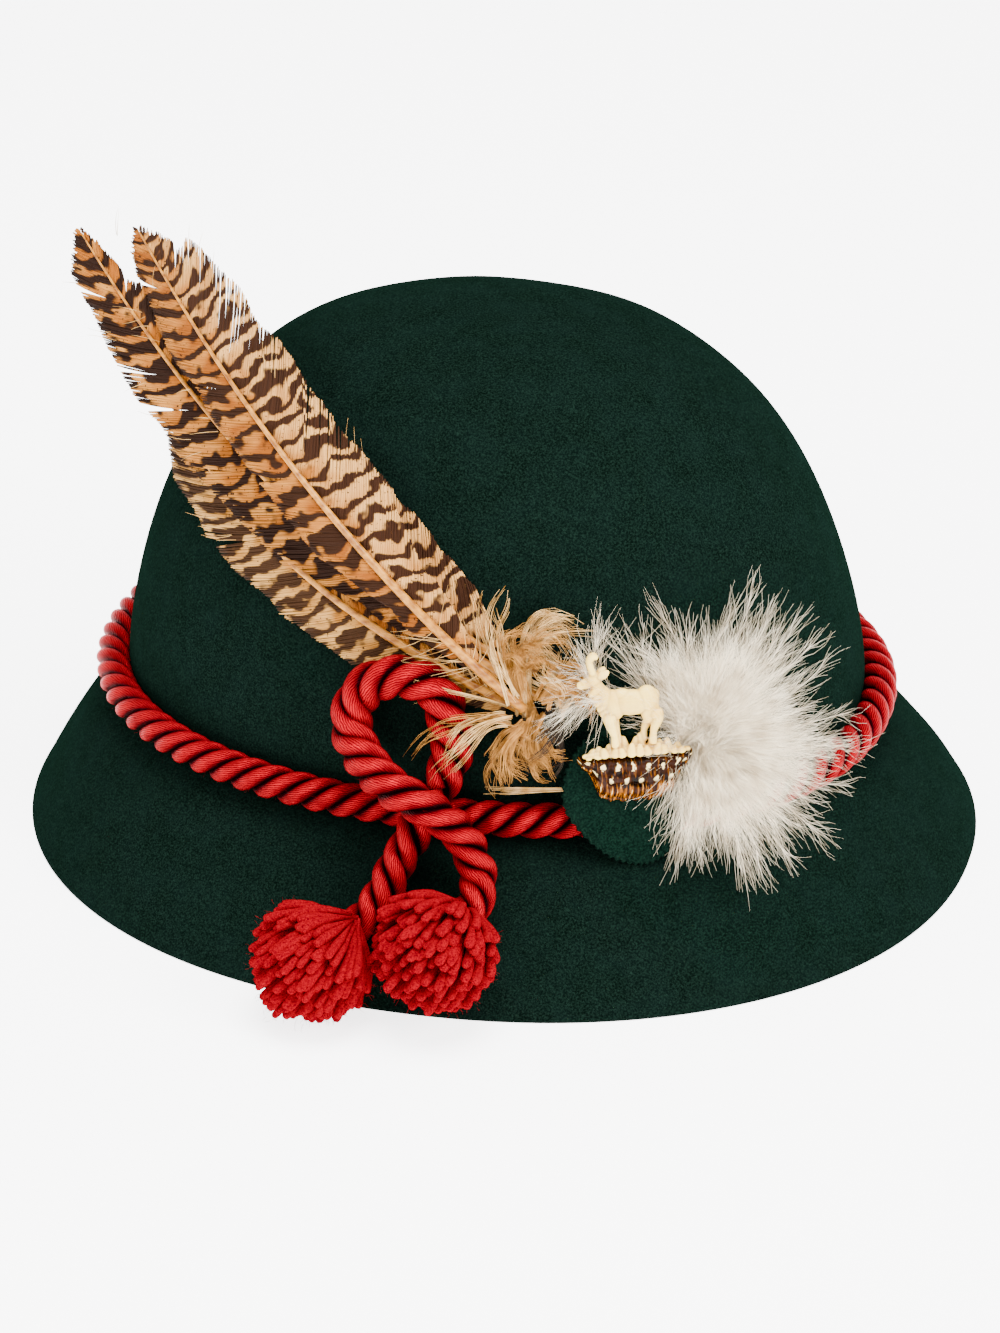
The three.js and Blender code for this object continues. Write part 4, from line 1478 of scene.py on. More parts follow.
        # Barbs of a clump lean together at their tips, which opens the notches between clumps
        pull = np.zeros(count)
        for number in np.unique(clump):
            members = np.flatnonzero(clump == number)
            middle_place = places[members].mean()
            pull[members] = -(places[members] - middle_place) * rng.uniform(0.02, 0.06)
        for split in shape.splits:
            gap = places / total - split
            pull += np.sign(gap) * self.split_pull * np.exp(-((gap / self.split_reach) ** 2)) * (full > 6)
        share = np.interp(places, reach, fine)
        points, tangents, faces, uppers = self.frames(shape, share)
        t = np.linspace(0, 1, len(self.barb_taper))[None, :, None]
        out = width[:, None, None]
        lean = out / np.tan(slant)[:, None, None]
        start = self.quill / 2 * 0.4 * (1 - 0.7 * share)[:, None, None]
        lines = (
            points[:, None]
            + uppers[:, None] * side * (start + out * t)
            + tangents[:, None] * (lean * (0.78 * t + 0.22 * t**2) + pull[:, None, None] * t**2)
            - faces[:, None] * (self.droop * (out * t / max(full, 1)) ** 2)
            + faces[:, None] * rng.normal(0, 0.05, (count, 1, 1))
            + faces[:, None] * rng.normal(0, 0.25, (count, 1, 1)) * t**3
        )
        along_barb = unit(np.gradient(lines, axis=1))
        flat = without(np.broadcast_to(faces[:, None], lines.shape), along_barb)
        across = np.cross(flat, along_barb)
        taper = np.array(self.barb_taper)[None, :, None, None]
        diamond = np.array([[0.5, 0], [0, 0.5], [-0.5, 0], [0, -0.5]]) * [self.barb_width, self.barb_depth]
        section = diamond[None, None] * taper
        pattern = np.empty((count, len(self.barb_taper), 2))
        pattern[..., 0] = width[:, None] * t[0, :, 0]
        # Each vane starts at another place of the pattern, so that no two have the same bars
        pattern[..., 1] = places[:, None] + (200.0 if upper else 0.0) + 37.0 * shape.seed
        surface.sweep(lines, across, flat, section, pattern=pattern, material=0 if upper else 1)

    def stray_barbs(self, surface: Surface, shape: FeatherShape, rng: np.random.Generator) -> None:
        """Add downy barbs at the bare base and a few stray ones beyond the outline.

        Args:
            surface: where they go.
            shape: the feather.
            rng: random numbers.
        """
        count = self.strays
        base_share = rng.uniform(0.06, shape.bare + 0.05, count - self.tip_strays)
        share = np.concatenate([base_share, rng.uniform(0.6, 0.97, self.tip_strays)])
        points, tangents, faces, uppers = self.frames(shape, share)
        side = rng.choice([-1.0, 1.0], (count, 1))
        wide = np.where(share > 0.5, self.vane_width * (shape.upper + shape.lower) / 2, 0)[:, None]
        reach = np.where(share > 0.5, 6.0, 13.0)[:, None] * rng.uniform(0.5, 1.1, (count, 1))
        root = points + uppers * side * wide * 0.8 + tangents * wide * 0.7
        ahead = tangents * reach
        tip = root + uppers * side * reach + ahead * rng.uniform(0.3, 1.5, (count, 1)) + faces * 1.5
        bend = (root + tip) / 2 + ahead * rng.uniform(-0.4, 0.1, (count, 1)) + faces * 1.2
        lines = bezier(root, bend, tip, np.linspace(0, 1, 7))
        lay_threads(surface, lines, self.stray_width, self.stray_tip, rng, material=3)

    def build(self) -> None:
        """Make the four pieces."""
        horn = HornQuill().build()
        wisp = Down("feather down, cream", "CDA468", "84592A").build()
        vanes = {}
        for shape in self.shapes:
            for finish in (shape.upper_finish, shape.lower_finish):
                if finish.name not in vanes:
                    vanes[finish.name] = finish.build()
            rng = np.random.default_rng(shape.seed)
            surface = Surface()
            self.barbs(surface, shape, True, rng)
            self.barbs(surface, shape, False, rng)
            shares = np.linspace(0, self.quill_end, 60)
            points, _, faces, uppers = self.frames(shape, shares)
            taper = (1 - self.quill_taper * shares)[None, :, None, None]
            section = (circle(10)[None, None] * self.quill / 2 * taper)[:, :, ::-1]
            surface.sweep((points + faces * 0.15)[None], faces[None], uppers[None] * -1, section, material=2)
            self.stray_barbs(surface, shape, rng)
            materials = [vanes[shape.upper_finish.name], vanes[shape.lower_finish.name], horn, wisp]
            finish_piece(surface.build(shape.name, materials), Slot.FEATHER, shape.node)


@dataclass(frozen=True)
class Wisp:
    """Locks of down: places of their start, bend and end on the felt as angle, share and distance off it."""

    start: tuple
    bend: tuple
    end: tuple
    locks: int
    spread: float
    material: int
    curl: float = 2.4
    strands: int = 15


@dataclass
class TanDown:
    """Tan down at the roots of the feathers: curled locks, each of a few strands that keep together."""

    form: FeltForm = FORM
    seed: int = 31
    strand_width: float = 0.27
    strand_tip: float = 0.35
    strand_gap: float = 0.45
    strand_wander: float = 0.35
    lock_turn: float = 6.5
    lock_reach: tuple = (0.7, 1.08)
    strand_reach: tuple = (0.72, 1.0)
    stations: int = 11
    wisps: tuple = (
        Wisp((-74, 0.27, 6), (-79, 0.44, 12), (-69, 0.38, 8), 16, 3.0, 0, 3.0),
        Wisp((-75, 0.28, 6), (-75, 0.47, 12), (-66, 0.40, 6), 12, 2.4, 1, 3.0),
        Wisp((-76, 0.30, 9), (-81, 0.42, 12), (-79, 0.47, 6), 4, 2.0, 1, 2.6, 6),
        Wisp((-76, 0.30, 9), (-84, 0.40, 12), (-83, 0.53, 5), 1, 0.8, 1, 1.4, 5),
        Wisp((-77, 0.29, 9), (-88, 0.33, 13), (-98, 0.325, 10), 1, 0.6, 1, 0.8, 7),
        Wisp((-77, 0.27, 10), (-84, 0.30, 14), (-91, 0.20, 12), 3, 1.6, 0, 1.8, 6),
        Wisp((-77, 0.27, 10), (-82, 0.28, 14), (-87, 0.165, 13), 6, 2.2, 1, 1.8, 7),
        Wisp((-75, 0.26, 9), (-80, 0.22, 12), (-76.5, 0.165, 7), 12, 2.6, 0, 2.0),
        Wisp((-73, 0.27, 8), (-75, 0.2, 11), (-71.5, 0.17, 6), 14, 2.4, 0, 1.8),
        Wisp((-71, 0.29, 7), (-69, 0.23, 9), (-73, 0.17, 5), 7, 2.6, 2, 1.8),
        Wisp((-72, 0.3, 9), (-68, 0.37, 11), (-65.5, 0.29, 6), 13, 2.6, 0, 3.2),
        Wisp((-71, 0.26, 6), (-68, 0.31, 10), (-71, 0.36, 8), 14, 2.8, 1, 3.4),
        Wisp((-73, 0.23, 7), (-76, 0.25, 10), (-71, 0.21, 9), 12, 2.6, 0, 3.4),
        Wisp((-70, 0.31, 6), (-71, 0.24, 8), (-76, 0.21, 6), 5, 3.0, 2, 2.0),
    )
    striped: Wisp = Wisp((-68, 0.135, 8), (-75, 0.145, 11), (-82.5, 0.14, 10), 1, 0.3, 1, 0.3, 14)

    def lines(self, wisp: Wisp, rng: np.random.Generator) -> np.ndarray:
        """Lines of a wisp's strands.

        Args:
            wisp: the wisp.
            rng: random numbers.

        Returns:
            Lines by stations by 3.
        """
        start, bend, end = (self.form.off(*place) for place in (wisp.start, wisp.bend, wisp.end))
        reach = rng.uniform(*self.lock_reach, (wisp.locks, 1))
        scatter = rng.normal(0, 1, (wisp.locks, 3))
        roots = start + rng.normal(0, 1.0, (wisp.locks, 3))
        bends = start + (bend - start) * reach + scatter * wisp.spread * 0.6
        ends = start + (end - start) * reach + scatter * wisp.spread
        t = np.linspace(0, 1, self.stations)
        guides = bezier(roots, bends, ends, t)
        tangents = unit(np.gradient(guides, axis=1))
        first = without(np.broadcast_to(unit(rng.normal(0, 1, (wisp.locks, 1, 3))), guides.shape), tangents)
        second = np.cross(tangents, first)
        phase = rng.uniform(0, 6.28, (wisp.locks, 1))
        phase = phase + rng.choice([-1.0, 1.0], (wisp.locks, 1)) * self.lock_turn * t
        swing = (np.cos(phase)[..., None] * first + np.sin(phase)[..., None] * second) * wisp.curl
        guides = guides + swing * (t**1.4)[None, :, None]
        strands = np.repeat(guides, wisp.strands, axis=0)
        count = len(strands)
        apart = rng.normal(0, self.strand_gap, (count, 1, 3)) * (0.5 + t)[None, :, None]
        wander = unit(rng.normal(0, 1, (count, 1, 3)))
        wander = wander * np.sin(rng.uniform(0, 6, (count, 1, 1)) + 9 * t[None, :, None])
        strands = strands + apart + wander * self.strand_wander * t[None, :, None]
        cut = rng.uniform(*self.strand_reach, count)
        points, _ = at_places(strands, cut[:, None] * t * (len(t) - 1))
        return points

    def build(self) -> bpy.types.Object:
        """Make the piece.

        Returns:
            The piece.
        """
        rng = np.random.default_rng(self.seed)
        surface = Surface()
        widths = (self.strand_width, self.strand_width * self.strand_tip)
        for wisp in (*self.wisps, self.striped):
            lay_threads(surface, self.lines(wisp, rng), *widths, rng, wisp.material)
        materials = [
            Down("feather down, tan", "B68040", "744814").build(),
            Down("feather down, buff", "D8B074", "966828").build(),
            Down("feather down, grey", "3A3026", "14100C").build(),
        ]
        return finish_piece(surface.build("tan_down", materials), Slot.TAN_DOWN, "down_tuft")


@dataclass
class WhiteDown:
    """White marabou beside the pin: plumes that fan out from one root, each with fine side barbs."""

    form: FeltForm = FORM
    seed: int = 41
    root: tuple = (-49.6, 0.2, 3.2)
    left_root: tuple = (-62.0, 0.315, 4.0)
    rim: tuple = (
        (-61, 0.40, 5), (-59, 0.43, 6), (-56, 0.44, 6), (-53, 0.44, 6), (-50, 0.42, 6), (-46, 0.41, 7),
        (-41, 0.42, 7), (-36, 0.45, 7), (-31, 0.45, 6), (-26, 0.42, 7), (-21, 0.36, 7), (-16, 0.28, 7),
        (-12, 0.18, 8), (-9, 0.05, 9), (-9, -0.1, 9), (-13, -0.24, 9), (-20, -0.34, 8), (-28, -0.43, 7),
        (-36, -0.5, 6), (-43, -0.54, 6), (-49, -0.48, 6), (-53, -0.38, 6), (-56, -0.32, 8),
    )
    left_rim: tuple = ((-66, 0.45, 5), (-72, 0.42, 6), (-76, 0.34, 7), (-78, 0.25, 8), (-74, 0.17, 8))
    plumes: int = 84
    left_plumes: int = 4
    fluff_plumes: int = 84
    barbs: int = 80
    barb_width: float = 0.066
    barb_tip: float = 0.03
    shaft_width: float = 0.22
    shaft_tip: float = 0.08
    tip_scatter: float = 1.8
    sideways: float = 4.2
    short_reach: tuple = (0.38, 0.92)
    barb_degrees: tuple = (4, 27)
    barb_length: tuple = (9, 26)
    stray_share: float = 0.14
    stray_degrees: float = 26
    stations: int = 12

    def plume_lines(
        self, root: tuple, rim: tuple, count: int, longest: float, scatter: float, rng: np.random.Generator
    ) -> tuple[np.ndarray, np.ndarray]:
        """Middle lines of plumes and the way out of the tuft.

        Args:
            root: the common root on the felt.
            rim: places where the longest plumes end.
            count: how many plumes.
            longest: share of the way to the rim that the longest reach.
            scatter: how far the roots lie apart, in millimetres.
            rng: random numbers.

        Returns:
            Lines by stations by 3, and the outward direction.
        """
        base = self.form.off(*root)
        ends = through([self.form.off(*place) for place in rim])
        share = (np.arange(count) * GOLDEN_SHARE) % 1
        tips = ends[(share * (len(ends) - 1)).astype(int)] + rng.normal(0, self.tip_scatter, (count, 3))
        outward = self.form.normal(np.radians(root[0] + 6), np.array(root[1]))
        shorter = rng.uniform(*self.short_reach, count)
        reach = longest * np.where(np.arange(count) % 4 == 0, 1.0, shorter)[:, None]
        lift = (2.5 + 13.0 * (1 - reach)) * rng.uniform(0.6, 1.2, (count, 1))
        flat = rng.normal(0, scatter, (count, 3))
        flat -= outward * np.sum(flat * outward, axis=1, keepdims=True) * 0.8
        roots = base + flat + unit(tips.mean(axis=0) - base) * scatter * 0.9
        ends_here = roots + (tips - roots) * reach + outward * lift * 0.8
        sideways = unit(np.cross(tips - roots, outward)) * rng.normal(0, self.sideways, (count, 1))
        bends = (roots + ends_here) / 2 + outward * (lift * 0.7 + 1.8) + sideways
        return bezier(roots, bends, ends_here, np.linspace(0, 1, self.stations)), outward

    def add_plumes(
        self, surface: Surface, lines: np.ndarray, outward: np.ndarray, rng: np.random.Generator
    ) -> None:
        """Lay the plumes' shafts and side barbs.

        Args:
            surface: where they go.
            lines: middle lines of the plumes.
            outward: the way out of the tuft.
            rng: random numbers.
        """
        lay_threads(surface, lines, self.shaft_width, self.shaft_tip, rng)
        count = len(lines)
        share = np.sort(rng.uniform(0.06, 0.99, (count, self.barbs)) ** 1.55, axis=1)
        root, step = at_places(lines, share * (lines.shape[1] - 1))
        tangent = unit(step)
        side = unit(np.cross(tangent, outward)) * rng.choice([-1.0, 1.0], share.shape)[..., None]
        spread = side + outward * rng.normal(0, 0.45, share.shape)[..., None]
        # Towards a plume's tip its barbs close up, which draws the tip to a point
        stray = np.where(rng.random(share.shape) < self.stray_share, self.stray_degrees, 0)
        degrees = rng.uniform(*self.barb_degrees, share.shape) * (1.2 - 0.7 * share)
        angle = np.radians(degrees + stray)[..., None]
        aim = unit(tangent * np.cos(angle) + unit(spread) * np.sin(angle))
        size = (rng.uniform(*self.barb_length, share.shape) * (1.05 - 0.62 * share))[..., None]
        tip = root + aim * size + rng.normal(0, 0.8, aim.shape)
        curve = rng.normal(0.03, 0.12, share.shape)[..., None]
        bend = root + aim * size * 0.55 + unit(spread) * size * curve + rng.normal(0, 0.4, aim.shape)
        flat = [part.reshape(-1, 3) for part in (root, bend, tip)]
        lay_threads(surface, bezier(*flat, np.linspace(0, 1, 4)), self.barb_width, self.barb_tip, rng)

    def build(self) -> None:
        """Make the plumes and the fluff at their roots."""
        rng = np.random.default_rng(self.seed)
        material = Down("marabou down, white", "FFF2D6", "BEAB8C", cluster_mm=5.0).build()
        plumes = Surface()
        lines, outward = self.plume_lines(self.root, self.rim, self.plumes, 0.86, 1.8, rng)
        self.add_plumes(plumes, lines, outward, rng)
        lines, outward = self.plume_lines(self.left_root, self.left_rim, self.left_plumes, 0.6, 1.2, rng)
        self.add_plumes(plumes, lines, outward, rng)
        finish_piece(plumes.build("white_plumes", [material]), Slot.WHITE_DOWN, "white_tuft")
        fluff = Surface()
        lines, outward = self.plume_lines(self.root, self.rim, self.fluff_plumes, 0.6, 3.2, rng)
        self.add_plumes(fluff, lines, outward, rng)
        finish_piece(fluff.build("white_fluff", [material]), Slot.WHITE_DOWN, "white_tuft")


@dataclass
class Pin:
    """Felt leaf, brown base and ivory-coloured mountain goat.

    They share one frame, at the middle of the base's top edge: forward round the hat, up and out.
    """

    form: FeltForm = FORM
    angle: float = -59.0
    share: float = 0.22
    leaf_width: float = 36.0
    leaf_height: float = 42.0
    leaf_backset: float = 2.0
    leaf_above: float = 7.0
    leaf_thickness: float = 1.5
    leaf_taper: float = 0.22
    leaf_out: float = 7.4
    leaf_columns: int = 432
    leaf_rows: int = 13
    pinking: int = 54
    pinking_depth: float = 0.75
    base_width: float = 31.0
    base_height: float = 14.3
    base_depth: float = 5.4
    base_columns: int = 150
    base_rows: int = 54
    set_down: float = 1.9
    clearance: float = 0.3
    ribs: int = 11
    grass_tufts: int = 24
    mane_tufts: int = 5
    voxel: float = 0.22
    leaf_finish: WoolFelt = WoolFelt(
        "cut wool felt", "050F0B", "0E2018", "020906", fibre_mm=0.6, cloud_mm=5.0, sheen=0.008
    )
    lumps: tuple = (
        (-0.86, 0.16), (-0.6, 0.12), (-0.34, 0.1), (-0.08, 0.12), (0.18, 0.1), (0.44, 0.12), (0.7, 0.14),
        (0.92, 0.1), (-0.72, 0.42), (-0.46, 0.4), (-0.2, 0.42), (0.06, 0.4), (0.34, 0.42), (0.6, 0.42),
    )

    def place(self, points: np.ndarray, out: float = 0.0) -> np.ndarray:
        """Move points from the pin's frame to the hat's.

        Args:
            points: points as forward, up and out.
            out: distance of the frame off the felt.

        Returns:
            The points in the hat's frame.
        """
        frame = self.form.seat(self.angle, self.share, out)
        return points @ frame[:3] + frame[3]

    def leaf(self) -> bpy.types.Object:
        """Make the pinked felt leaf, which sags a little and curls at its edge.

        Returns:
            The piece.
        """
        turn = np.arange(self.leaf_columns) / self.leaf_columns * 2 * np.pi
        tooth = np.abs(((turn / (2 * np.pi) * self.pinking) % 1) * 2 - 1)
        share = np.linspace(0, 1, self.leaf_rows + 1)[1:, None]
        taper = 1 - self.leaf_taper * np.maximum(0, -np.sin(turn))
        cut = 1 - self.pinking_depth / (self.leaf_width / 2) * tooth * np.clip((share - 0.9) / 0.1, 0, 1)
        lean = 0.2 * np.maximum(0, -np.sin(turn) * share - 0.15) * self.leaf_height / 2
        x = self.leaf_width / 2 * np.cos(turn) * taper * share * cut - self.leaf_backset + lean
        y = self.leaf_above - self.leaf_height / 2 + self.leaf_height / 2 * np.sin(turn) * share * cut
        curl = 0.9 * np.sin(2 * turn + 0.8) * share**3 + 0.5 * np.sin(0.35 * x + 0.2 * y) * share**2
        sag = -1.1 * np.clip(-y / self.leaf_height - 0.45, 0, 1) ** 2 * 6
        height = curl + sag
        surface = Surface()
        layers = [np.stack([x, y, height + lift], axis=-1) for lift in (0.0, self.leaf_thickness)]
        skin = np.concatenate([layers[0], layers[1][::-1]])
        surface.grid(self.place(skin, self.leaf_out)[::-1], closed=True)
        surface.fan(self.place(layers[0][0], self.leaf_out), False)
        surface.fan(self.place(layers[1][0], self.leaf_out), True)
        return finish_piece(surface.build("leaf", [self.leaf_finish.build()]), Slot.LEAF_FELT, "felt_leaf")

    def base_relief(self, across: np.ndarray, down: np.ndarray) -> np.ndarray:
        """Height of the base over its back: lumps above, grooves below and a dark slot between.

        Args:
            across: places from -1 to 1 along the base.
            down: places from 0 at its top edge to 1 at its keel.

        Returns:
            The heights in millimetres.
        """
        ends = np.sqrt(np.clip(1 - across**2, 0, 1)) ** 0.55
        body = ends * np.clip(1 - (2 * np.abs(down - 0.42)) ** 4, 0.02, 1)
        height = self.base_depth * 0.62 * body + 0.8
        for x, y in self.lumps:
            near = ((across - x) / 0.11) ** 2 + ((down - y) / 0.15) ** 2
            height = height + 1.15 * np.exp(-(near**1.5)) * np.clip(body * 2, 0, 1)
        groove = np.abs(np.sin((across * 1.05 + 0.12 * down) * np.pi * self.ribs / 2))
        below = np.clip((down - 0.56) / 0.08, 0, 1)
        height = height + 0.8 * (groove**0.6 - 0.6) * below * np.clip(body * 2, 0, 1)
        slot = np.exp(-(((down - 0.56 - 0.03 * np.sin(9 * across)) / 0.035) ** 2))
        slot = slot * np.exp(-(((across - 0.02) / 0.42) ** 4)) * (0.55 + 0.45 * np.sin(13 * across + 1))
        return height - 1.6 * slot

    def base(self) -> bpy.types.Object:
        """Make the boat-shaped base with its lumps, slots and grooves.

        Returns:
            The piece.
        """
        across = np.linspace(-1, 1, self.base_columns)[None, :]
        down = np.linspace(0, 1, self.base_rows)[:, None]
        narrow = np.clip((0.84 - np.abs(across)) / 0.26, 0, 1)
        belly = 0.5 * narrow * narrow * (3 - 2 * narrow) * (1 - 0.2 * across**2)
        keel = 0.46 * (1 - np.abs(across) ** 4) + belly
        scallop = 1 - 0.06 * np.abs(np.sin(across * np.pi * 4.5)) * down
        x = self.base_width / 2 * across * np.ones_like(down)
        depth = self.base_height * (0.1 + 0.9 * keel) * down * scallop
        y = -depth - self.set_down
        relief = self.base_relief(across * np.ones_like(down), down * np.ones_like(across))
        edge = np.clip((1 - np.abs(across)) / 0.04, 0, 1) * np.clip(down / 0.05, 0, 1)
        edge = edge * np.clip((1 - down) / 0.06, 0, 1)
        z = 0.25 + (relief - 0.25) * np.sqrt(edge)
        front = np.stack([x, y, z], axis=-1)
        back = np.stack([x, y, np.zeros_like(z)], axis=-1)
        surface = Surface()
        out = self.leaf_out + self.leaf_thickness + self.clearance
        pattern = np.stack([x, down * self.base_height * np.ones_like(x)], axis=-1)
        surface.grid(self.place(front, out)[::-1], pattern=pattern[::-1])
        surface.grid(self.place(back, out), pattern=pattern)
        ahead, astern = slice(None), slice(None, None, -1)
        for side in ((0, ahead), (-1, astern), (astern, 0), (ahead, -1)):
            border = np.stack([front[side], back[side]])
            surface.grid(self.place(border, out), pattern=np.stack([pattern[side]] * 2))
        piece = surface.build("pin_boat", [BrownResin().build()])
        return finish_piece(piece, Slot.BROWN, "pin_base")

    def limbs(self) -> list:
        """Legs, horns and ears of the goat.

        Returns:
            For each limb the points of its middle line, and its width at each.
        """
        near_horn = (
            (-11.1, 23.6, 0.4), (-11.9, 25.9, 0.6), (-12.1, 27.7, 0.7), (-11.1, 28.9, 0.8), (-9.9, 28.3, 0.8),
        )
        far_horn = (
            (-11.1, 23.6, -0.4), (-11.8, 25.8, -0.6), (-12, 27.6, -0.7), (-11, 28.8, -0.8),
            (-9.8, 28.2, -0.8),
        )
        return [
            (((-7.6, 13, 1.3), (-6.9, 9.5, 1.3), (-6, 6.5, 1.3), (-5.9, 3.2, 1.3)), (4.4, 3.0, 1.9, 2.3)),
            (((-6, 13, -1.2), (-5.6, 9.5, -1.2), (-4.9, 6.5, -1.2), (-4.6, 3.2, -1.2)), (4.0, 2.8, 1.8, 2.2)),
            (((4.6, 13.4, 1.3), (5.6, 10.8, 1.3), (4.5, 7.2, 1.3), (4.3, 3.4, 1.3)), (4.6, 3.0, 1.8, 2.3)),
            (((3.4, 13, -1.2), (3.9, 10.4, -1.2), (2.5, 7.2, -1.2), (2.2, 3.4, -1.2)), (4.4, 2.8, 1.7, 2.1)),
            (near_horn, (2.2, 1.9, 1.8, 1.7, 1.4)),
            (far_horn, (2.2, 1.9, 1.8, 1.7, 1.4)),
            (((-9.9, 22.8, 0.8), (-8.5, 24.0, 1.4), (-7.2, 25.0, 1.7)), (1.4, 2.4, 1.1)),
            (((-10.0, 22.8, -0.8), (-8.7, 24.0, -1.4), (-7.6, 25.0, -1.7)), (1.4, 2.2, 1.1)),
        ]

    def tufts(self) -> list:
        """Tufts of the mane down the throat, tufts of grass, and the turf under them.

        Returns:
            For each tuft the points of its middle line, and its width at each.
        """
        tufts = []
        for number in range(self.mane_tufts):
            # Tufts of the mane down the throat
            y = 18.8 - 1.4 * number
            x = -11.5 + 0.72 * number
            for side in (-0.7, 0.7):
                start, middle = (x + 2.4, y + 1.2, side * 0.6), (x + 0.5, y + 0.3, side)
                tufts.append(((start, middle, (x - 0.9, y - 1.2, side * 0.8)), (2.6, 2.2, 0.7)))
        for number in range(self.grass_tufts):
            # Tufts of grass in two rows, highest under the goat's middle, the back row above the front one
            share = (number + 0.5) / self.grass_tufts
            x = -13.6 + 27.4 * share
            behind = number % 2
            top = 0.8 + (3.0 + 1.9 * behind) * math.sin(math.pi * share) ** 0.8 + 0.6 * math.sin(number * 2.1)
            lean = 0.8 * math.sin(number * 1.3)
            z = 1.0 - 1.9 * behind + 0.3 * math.sin(number * 2.7)
            tufts.append((((x, 0.2, z), (x + lean * 0.4, top * 0.6, z), (x + lean, top, z)), (3.0, 2.3, 1.1)))
        turf = ((-14.6, 0.9, 0), (-8, 1.3, 0), (0, 1.6, 0), (8, 1.3, 0), (14.6, 0.9, 0))
        tufts.append((turf, (1.2, 2.4, 2.8, 2.4, 1.2)))
        return tufts

    def goat_forms(self, surface: Surface) -> None:
        """Rough forms of the goat and the grass, before they melt together.

        Args:
            surface: where they go.
        """
        balls = (
            # Middle forward, up and out, then half sizes and tilt in degrees
            (-1.2, 15.2, 0.0, 6.3, 3.5, 2.6, -3),
            (3.2, 15.6, 0.0, 3.2, 4.0, 2.5, 8),
            (3.9, 12.6, 0.9, 2.3, 3.4, 1.4, -14),
            (3.9, 12.6, -0.9, 2.3, 3.4, 1.4, -14),
            (-5.9, 14.9, 0.0, 3.0, 4.3, 2.4, 12),
            (-8.2, 16.8, 0.0, 2.5, 4.3, 2.0, 26),
            (-9.8, 19.6, 0.0, 1.8, 3.4, 1.5, 24),
            (-11.2, 22.2, 0.0, 2.1, 1.9, 1.55, 10),
            (-13.0, 21.4, 0.0, 2.1, 1.45, 1.25, 18),
            (-14.4, 21.0, 0.0, 1.2, 1.15, 1.05, 0),
            (5.6, 17.0, 0.0, 0.9, 1.5, 0.7, 20),
            (-4.0, 17.2, 0.0, 3.0, 2.0, 1.8, 6),
            (-10.6, 23.4, 0.0, 1.3, 1.0, 1.2, 0),
            (-11.9, 22.6, 1.1, 0.42, 0.34, 0.3, 0),
            (-11.9, 22.6, -1.1, 0.42, 0.34, 0.3, 0),
        )
        turn = np.radians(np.linspace(-90, 90, 14))[:, None]
        around = np.arange(20) / 20 * 2 * np.pi
        ball = [np.cos(turn) * np.cos(around), np.sin(turn) * np.ones(20), -np.cos(turn) * np.sin(around)]
        for x, y, z, *halves, tilt in balls:
            along, high, wide = (part * half for part, half in zip(ball, halves))
            cos, sin = math.cos(math.radians(tilt)), math.sin(math.radians(tilt))
            spun = np.stack([along * cos - high * sin, along * sin + high * cos, wide], -1)
            surface.grid(spun + [x, y, z], closed=True)
        spacing = 0.3
        for line, widths in (*self.limbs(), *self.tufts()):
            fine, _ = evenly(through(list(line), steps=10), spacing)
            share = np.linspace(0, 1, len(fine))
            width = np.interp(share, np.linspace(0, 1, len(widths)), widths)
            # Both ends are rounded over half a width
            from_end = np.minimum(share, 1 - share) * len(fine) * spacing * 2 / width
            cap = np.sqrt(np.clip(1 - np.maximum(1 - from_end, 0) ** 2, 0.06, 1))
            _, side, up = steady_frames(fine, np.array([0.3, 0.1, 0.9]))
            section = circle(12)[None, None] * (width * cap / 2)[None, :, None, None]
            surface.sweep(fine[None], side[None], up[None], section)

    def goat(self, ivory: bpy.types.Material) -> bpy.types.Object:
        """Make the goat on its grass: rough forms melted to one skin by a voxel remesh, then smoothed.

        Args:
            ivory: the ivory resin.

        Returns:
            The piece.
        """
        rough = Surface()
        self.goat_forms(rough)
        source = rough.build("goat_rough", [])
        remesh = source.modifiers.new("melt", "REMESH")
        remesh.mode = "VOXEL"
        remesh.voxel_size = self.voxel * MM
        smooth = source.modifiers.new("soften", "SMOOTH")
        smooth.factor = 0.5
        smooth.iterations = 2
        view = bpy.context.evaluated_depsgraph_get()
        mesh = bpy.data.meshes.new_from_object(source.evaluated_get(view))
        bpy.data.objects.remove(source)
        count = len(mesh.vertices)
        places = np.empty(count * 3, np.float32)
        mesh.vertices.foreach_get("co", places)
        out = self.leaf_out + self.leaf_thickness + self.clearance + self.base_depth / 2
        set_down = np.array([0.0, self.set_down, 0.0])
        moved = self.place(places.reshape(-1, 3).astype(float) / MM - set_down, out) * MM
        mesh.vertices.foreach_set("co", moved.astype(np.float32).reshape(-1))
        mesh.polygons.foreach_set("use_smooth", np.full(len(mesh.polygons), True))
        mesh.materials.clear()
        mesh.materials.append(ivory)
        mesh.update()
        return finish_piece(add_object("goat", mesh), Slot.IVORY, "chamois")

    def build(self) -> None:
        """Make the three pieces."""
        ivory = IvoryResin().build()
        self.leaf()
        self.base()
        self.goat(ivory)


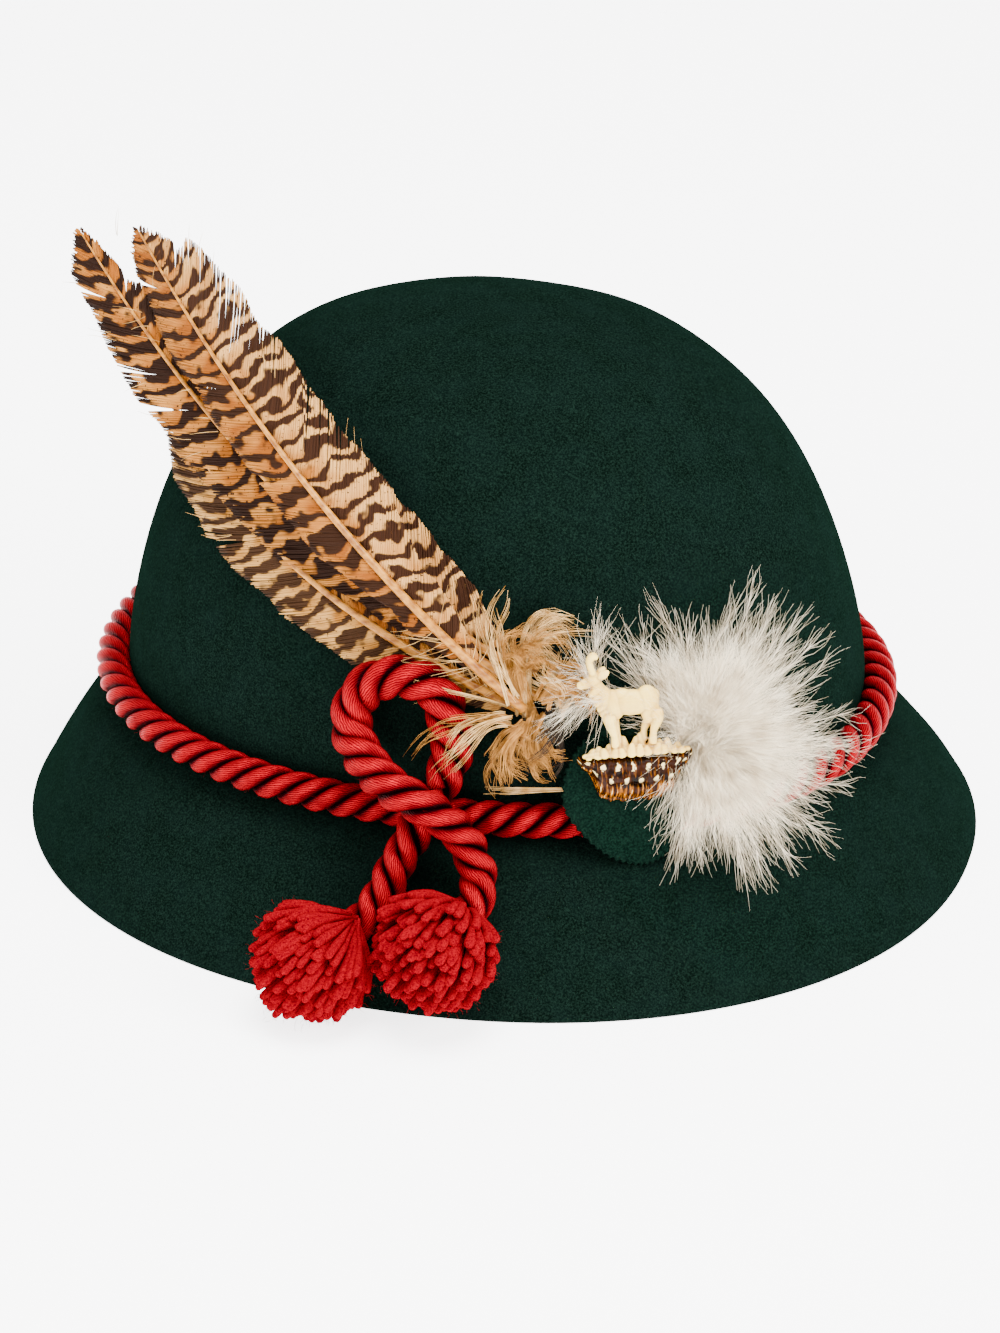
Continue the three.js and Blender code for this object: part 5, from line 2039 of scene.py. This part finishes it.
@dataclass
class Studio:
    """Pale floor, soft light and the camera at the photograph's angle."""

    elevation: float = 28.35
    azimuth: float = 14.57
    distance: float = 1.5
    target: tuple = (0.0, 0.0, 0.05)
    pixels_per_mm: float = 3.5625
    centre_pixel: tuple = (503.74, 646.27)
    image: tuple = (1000, 1333)
    sensor: float = 36.0
    sky: float = 1.75
    floor_glow: float = 3.6
    lights: tuple = (
        ("softbox_top", (0.15, -0.25, 1.7), 1.0, 80.0),
        ("softbox_front", (-0.9, -1.6, 1.2), 0.8, 22.0),
        ("softbox_right", (1.5, -0.6, 1.1), 0.8, 46.0),
    )

    def camera(self) -> None:
        """Place the camera."""
        up, turn = math.radians(self.elevation), math.radians(self.azimuth)
        way = Vector((math.sin(turn) * math.cos(up), -math.cos(turn) * math.cos(up), math.sin(up)))
        data = bpy.data.cameras.new("camera")
        data.sensor_width = self.sensor
        tall = self.image[1]
        data.lens = self.pixels_per_mm / MM * self.distance / tall * self.sensor
        data.shift_x = (self.image[0] / 2 - self.centre_pixel[0]) / tall
        data.shift_y = (self.centre_pixel[1] - tall / 2) / tall
        data.clip_end = 50.0
        camera = add_object("camera", data)
        camera.location = Vector(self.target) + way * self.distance
        camera.rotation_euler = (-way).to_track_quat("-Z", "Y").to_euler()
        bpy.context.scene.camera = camera

    def light(self, name: str, place: tuple, size: float, power: float) -> None:
        """Add a soft light that looks at the hat.

        Args:
            name: its name.
            place: where it stands, in metres.
            size: the side of its square, in metres.
            power: watts.
        """
        data = bpy.data.lights.new(name, "AREA")
        data.size = size
        data.energy = power
        lamp = add_object(name, data)
        lamp.location = place
        lamp.rotation_euler = (Vector(self.target) - Vector(place)).to_track_quat("-Z", "Y").to_euler()

    def floor(self) -> None:
        """Lay the pale floor."""
        bpy.ops.mesh.primitive_plane_add(size=30.0)
        floor = bpy.context.object
        floor.name = "floor"
        paper = Shading("white paper sweep")
        glow = {"Emission Color": "FFFFFF", "Emission Strength": self.floor_glow}
        shader = paper.add(Kind.SHADER, {"Base Color": "FAFAFA", "Roughness": 0.9, **glow})
        floor.data.materials.append(paper.close(shader))

    def build(self) -> None:
        """Make the studio."""
        self.camera()
        self.floor()
        world = bpy.data.worlds.new("studio")
        world.use_nodes = True
        background = world.node_tree.nodes["Background"]
        background.inputs["Color"].default_value = (1.0, 1.0, 1.0, 1.0)
        background.inputs["Strength"].default_value = self.sky
        bpy.context.scene.world = world
        for name, place, size, power in self.lights:
            self.light(name, place, size, power)


def main() -> None:
    """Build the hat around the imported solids."""
    logging.basicConfig(level=logging.INFO, format="%(name)s: %(message)s")
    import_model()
    Studio().build()
    wool = WoolYarn().build()
    left = Pompom("left_pompom", "pompom_left", (-20, -124, 17), (-0.6, -0.5, -0.62), 51).build(wool)
    right = Pompom("right_pompom", "pompom_right", (12, -120, 23), (-0.3, -0.85, -0.42), 52).build(wool)
    CordTrim().build(left, right)
    FeltHat().build()
    Feathers().build()
    TanDown().build()
    WhiteDown().build()
    Pin().build()


if __name__ == "__main__":
    main()
